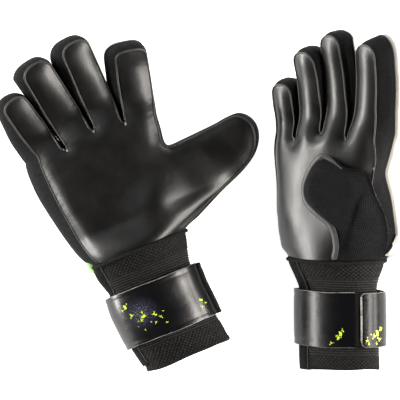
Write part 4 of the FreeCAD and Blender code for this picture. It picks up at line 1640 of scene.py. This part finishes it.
MATERIALS = {
    "palm_latex": latex_paint("palm_latex", (0.006, 0.006, 0.0062), (0.0095, 0.0093, 0.009), 0.35),
    "seam_edge": latex_paint("seam_edge", (0.014, 0.0135, 0.0125), (0.044, 0.042, 0.038), 0.5),
    "rolled_edge": latex_paint("rolled_edge", (0.034, 0.033, 0.031), (0.070, 0.068, 0.063), 0.5),
    "side_mesh": mesh_paint("side_mesh", (0.0012, 0.0012, 0.0016), (0.0098, 0.0098, 0.0112), 1.3),
    "side_strip": mesh_paint("side_strip", (0.002, 0.002, 0.002), (0.007, 0.007, 0.007), 0.9),
    "back_foam": foam_paint("back_foam", (0.44, 0.425, 0.385), (0.56, 0.545, 0.50)),
    "green_foam": foam_paint("green_foam", (0.40, 0.78, 0.26), (0.56, 0.92, 0.40)),
    "wrist_knit": knit_paint("wrist_knit"),
    "tab_tape": mesh_paint("tab_tape", (0.004, 0.004, 0.004), (0.012, 0.012, 0.012), 0.7),
    "binding_tape": mesh_paint("binding_tape", (0.004, 0.004, 0.004), (0.02, 0.02, 0.02), 0.8),
    # The pair after each coated name places the strap's worn patch with its painted sheen.
    "open_coated": coated_paint("open_coated", (71, -50), 0.52),
    # Painted shade: the folded glove's strap is the same coated fabric, given a weaker shine so that it reads
    # darker.
    "folded_coated": coated_paint("folded_coated", (108, -34), 0.24),
    "cut_edge": edge_paint("cut_edge", (0.07, 0.06, 0.055), (0.46, 0.45, 0.42)),
    "loop_pile": pile_paint("loop_pile", (0.003, 0.003, 0.003), (0.02, 0.02, 0.02), 0.8),
    "hook_tape": pile_paint("hook_tape", (0.006, 0.006, 0.006), (0.05, 0.05, 0.05), 0.5),
    "lining_towel": pile_paint("lining_towel", (0.02, 0.02, 0.021), (0.09, 0.09, 0.09), 1.4),
    "thread": thread_paint("thread", (0.006, 0.006, 0.006), (0.05, 0.05, 0.05)),
    # Painted highlight: the tacks' pale grey thread stands in for the small glints at the crotches.
    "white_thread": thread_paint("white_thread", (0.25, 0.25, 0.24), (0.5, 0.5, 0.48)),
    "neon_ink": ink_paint("neon_ink"),
}


# ------------------------------------------------------------------ making both gloves

def dresser(glove, hand_nodes, digit_node):
    """Hides the CAD parts that each piece cut from one of the hand's skins replaces."""
    def dress(piece, digit):
        nodes = hand_nodes if digit == HAND else (f"{digit}_{digit_node}",)
        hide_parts(*(f"{glove.name}_{node}" for node in nodes))
    return dress


def build_glove(name):
    """Every piece of one glove."""
    glove = Glove(name)
    rim = Rim(glove)
    thumb = leaf_sheet() if name == "folded" else None
    build_front(glove, rim, dresser(glove, ("palm_panel",), "face"), thumb)
    sides = ("outer_edge_gusset", "thumb_side_gusset", "thumb_web")
    edge = build_strip(glove, rim, dresser(glove, sides, "gusset"))
    foam_edge = build_foam_side(glove, rim, edge)
    build_back(glove, rim, foam_edge, dresser(glove, ("backhand_panel",), "back"))
    if thumb:
        build_leaf(glove, *thumb)
    build_beads(glove, rim, front_rim_points(glove, rim), "front_welt", 0.85, "seam_edge")
    build_beads(glove, rim, edge, "back_welt", 0.8, "thread")
    build_bar_tacks(glove, rim)
    build_bandage(glove)
    build_side_strip(glove)
    build_binding(glove)
    build_lining(glove)
    build_strap(glove)
    build_strap_stitches(glove)
    build_splashes(glove)
    if name == "open":
        build_accent(glove)


for glove_name in GLOVES:
    build_glove(glove_name)


# ------------------------------------------------------------------ floor, light and camera

def pale_floor():
    """The white sheet that the gloves lie on, lit a little from itself."""
    mesh = bpy.data.meshes.new("floor")
    reach = 6.0
    corners = [(-reach, -reach, 0), (reach, -reach, 0), (reach, reach, 0), (-reach, reach, 0)]
    mesh.from_pydata(corners, [], [(0, 1, 2, 3)])
    paint = Paint("floor_paper", (0.93, 0.93, 0.93), 0.9)
    place = paint.add("ShaderNodeTexCoord").outputs["Object"]
    speck = paint.add("ShaderNodeTexNoise", {"Vector": place, "Scale": 40.0, "Detail": 2.0}).outputs["Fac"]
    paint.set("Base Color", paint.colours(speck, (0.3, (0.92, 0.92, 0.92)), (0.7, (0.94, 0.94, 0.94))))
    paint.shader.inputs["Emission Color"].default_value = (1, 1, 1, 1)
    paint.shader.inputs["Emission Strength"].default_value = 0.95
    mesh.materials.append(paint.material)
    floor = bpy.data.objects.new("floor", mesh)
    bpy.context.scene.collection.objects.link(floor)


def soft_light(name, place, target, size, power, colour):
    """An area light turned towards its target."""
    light = bpy.data.lights.new(name, "AREA")
    light.shape = "RECTANGLE"
    light.size, light.size_y = size
    light.energy = power
    light.color = colour
    lamp = bpy.data.objects.new(name, light)
    lamp.location = place
    lamp.visible_camera = False
    lamp.rotation_euler = (Vector(target) - Vector(place)).to_track_quat("-Z", "Y").to_euler()
    bpy.context.scene.collection.objects.link(lamp)


def studio_world():
    """A sky that is bright below the horizon and fades to black overhead."""
    world = bpy.data.worlds.new("studio")
    world.use_nodes = True
    sky = world.node_tree
    height = sky.nodes.new("ShaderNodeSeparateXYZ")
    sky.links.new(sky.nodes.new("ShaderNodeTexCoord").outputs["Generated"], height.inputs[0])
    ramp = sky.nodes.new("ShaderNodeValToRGB")
    sky.links.new(height.outputs["Z"], ramp.inputs[0])
    sky.links.new(ramp.outputs[0], sky.nodes["Background"].inputs[0])
    stops = ((0.0, 1.0), (0.25, 0.25), (0.6, 0.02), (1.0, 0.0))
    for place, _ in stops[1:-1]:
        ramp.color_ramp.elements.new(place)
    for element, (place, level) in zip(ramp.color_ramp.elements, stops):
        element.position = place
        element.color = (level, level, level, 1)
    bpy.context.scene.world = world


CAMERA_HEIGHT = 6.0
GLOVE_TOP = 0.045
VIEW_WIDTH = 0.332


def look_down():
    """A long lens straight above the gloves, as in the photograph."""
    data = bpy.data.cameras.new("camera")
    data.sensor_width = 36
    data.lens = data.sensor_width * (CAMERA_HEIGHT - GLOVE_TOP) / VIEW_WIDTH
    data.clip_end = 50
    camera = bpy.data.objects.new("camera", data)
    camera.location = (-0.0003, -0.0012, CAMERA_HEIGHT)
    bpy.context.scene.collection.objects.link(camera)
    bpy.context.scene.camera = camera
    bpy.context.scene.view_settings.view_transform = "Standard"


pale_floor()
studio_world()
soft_light("right_low_box", (1.30, 0.0, 0.52), (0, 0, 0.03), (1.3, 0.22), 20, (1.0, 0.94, 0.88))
soft_light("right_box", (1.04, -0.1, 0.93), (0, 0, 0.03), (1.2, 0.28), 26, (1.0, 0.95, 0.9))
soft_light("left_low_box", (-1.38, 0.1, 0.20), (0, 0, 0.03), (1.4, 0.22), 38, (1.0, 0.97, 0.93))
soft_light("left_far_box", (-0.75, 0.72, 0.95), (0, 0, 0.03), (1.5, 0.7), 1.5, (0.95, 0.97, 1.0))
look_down()
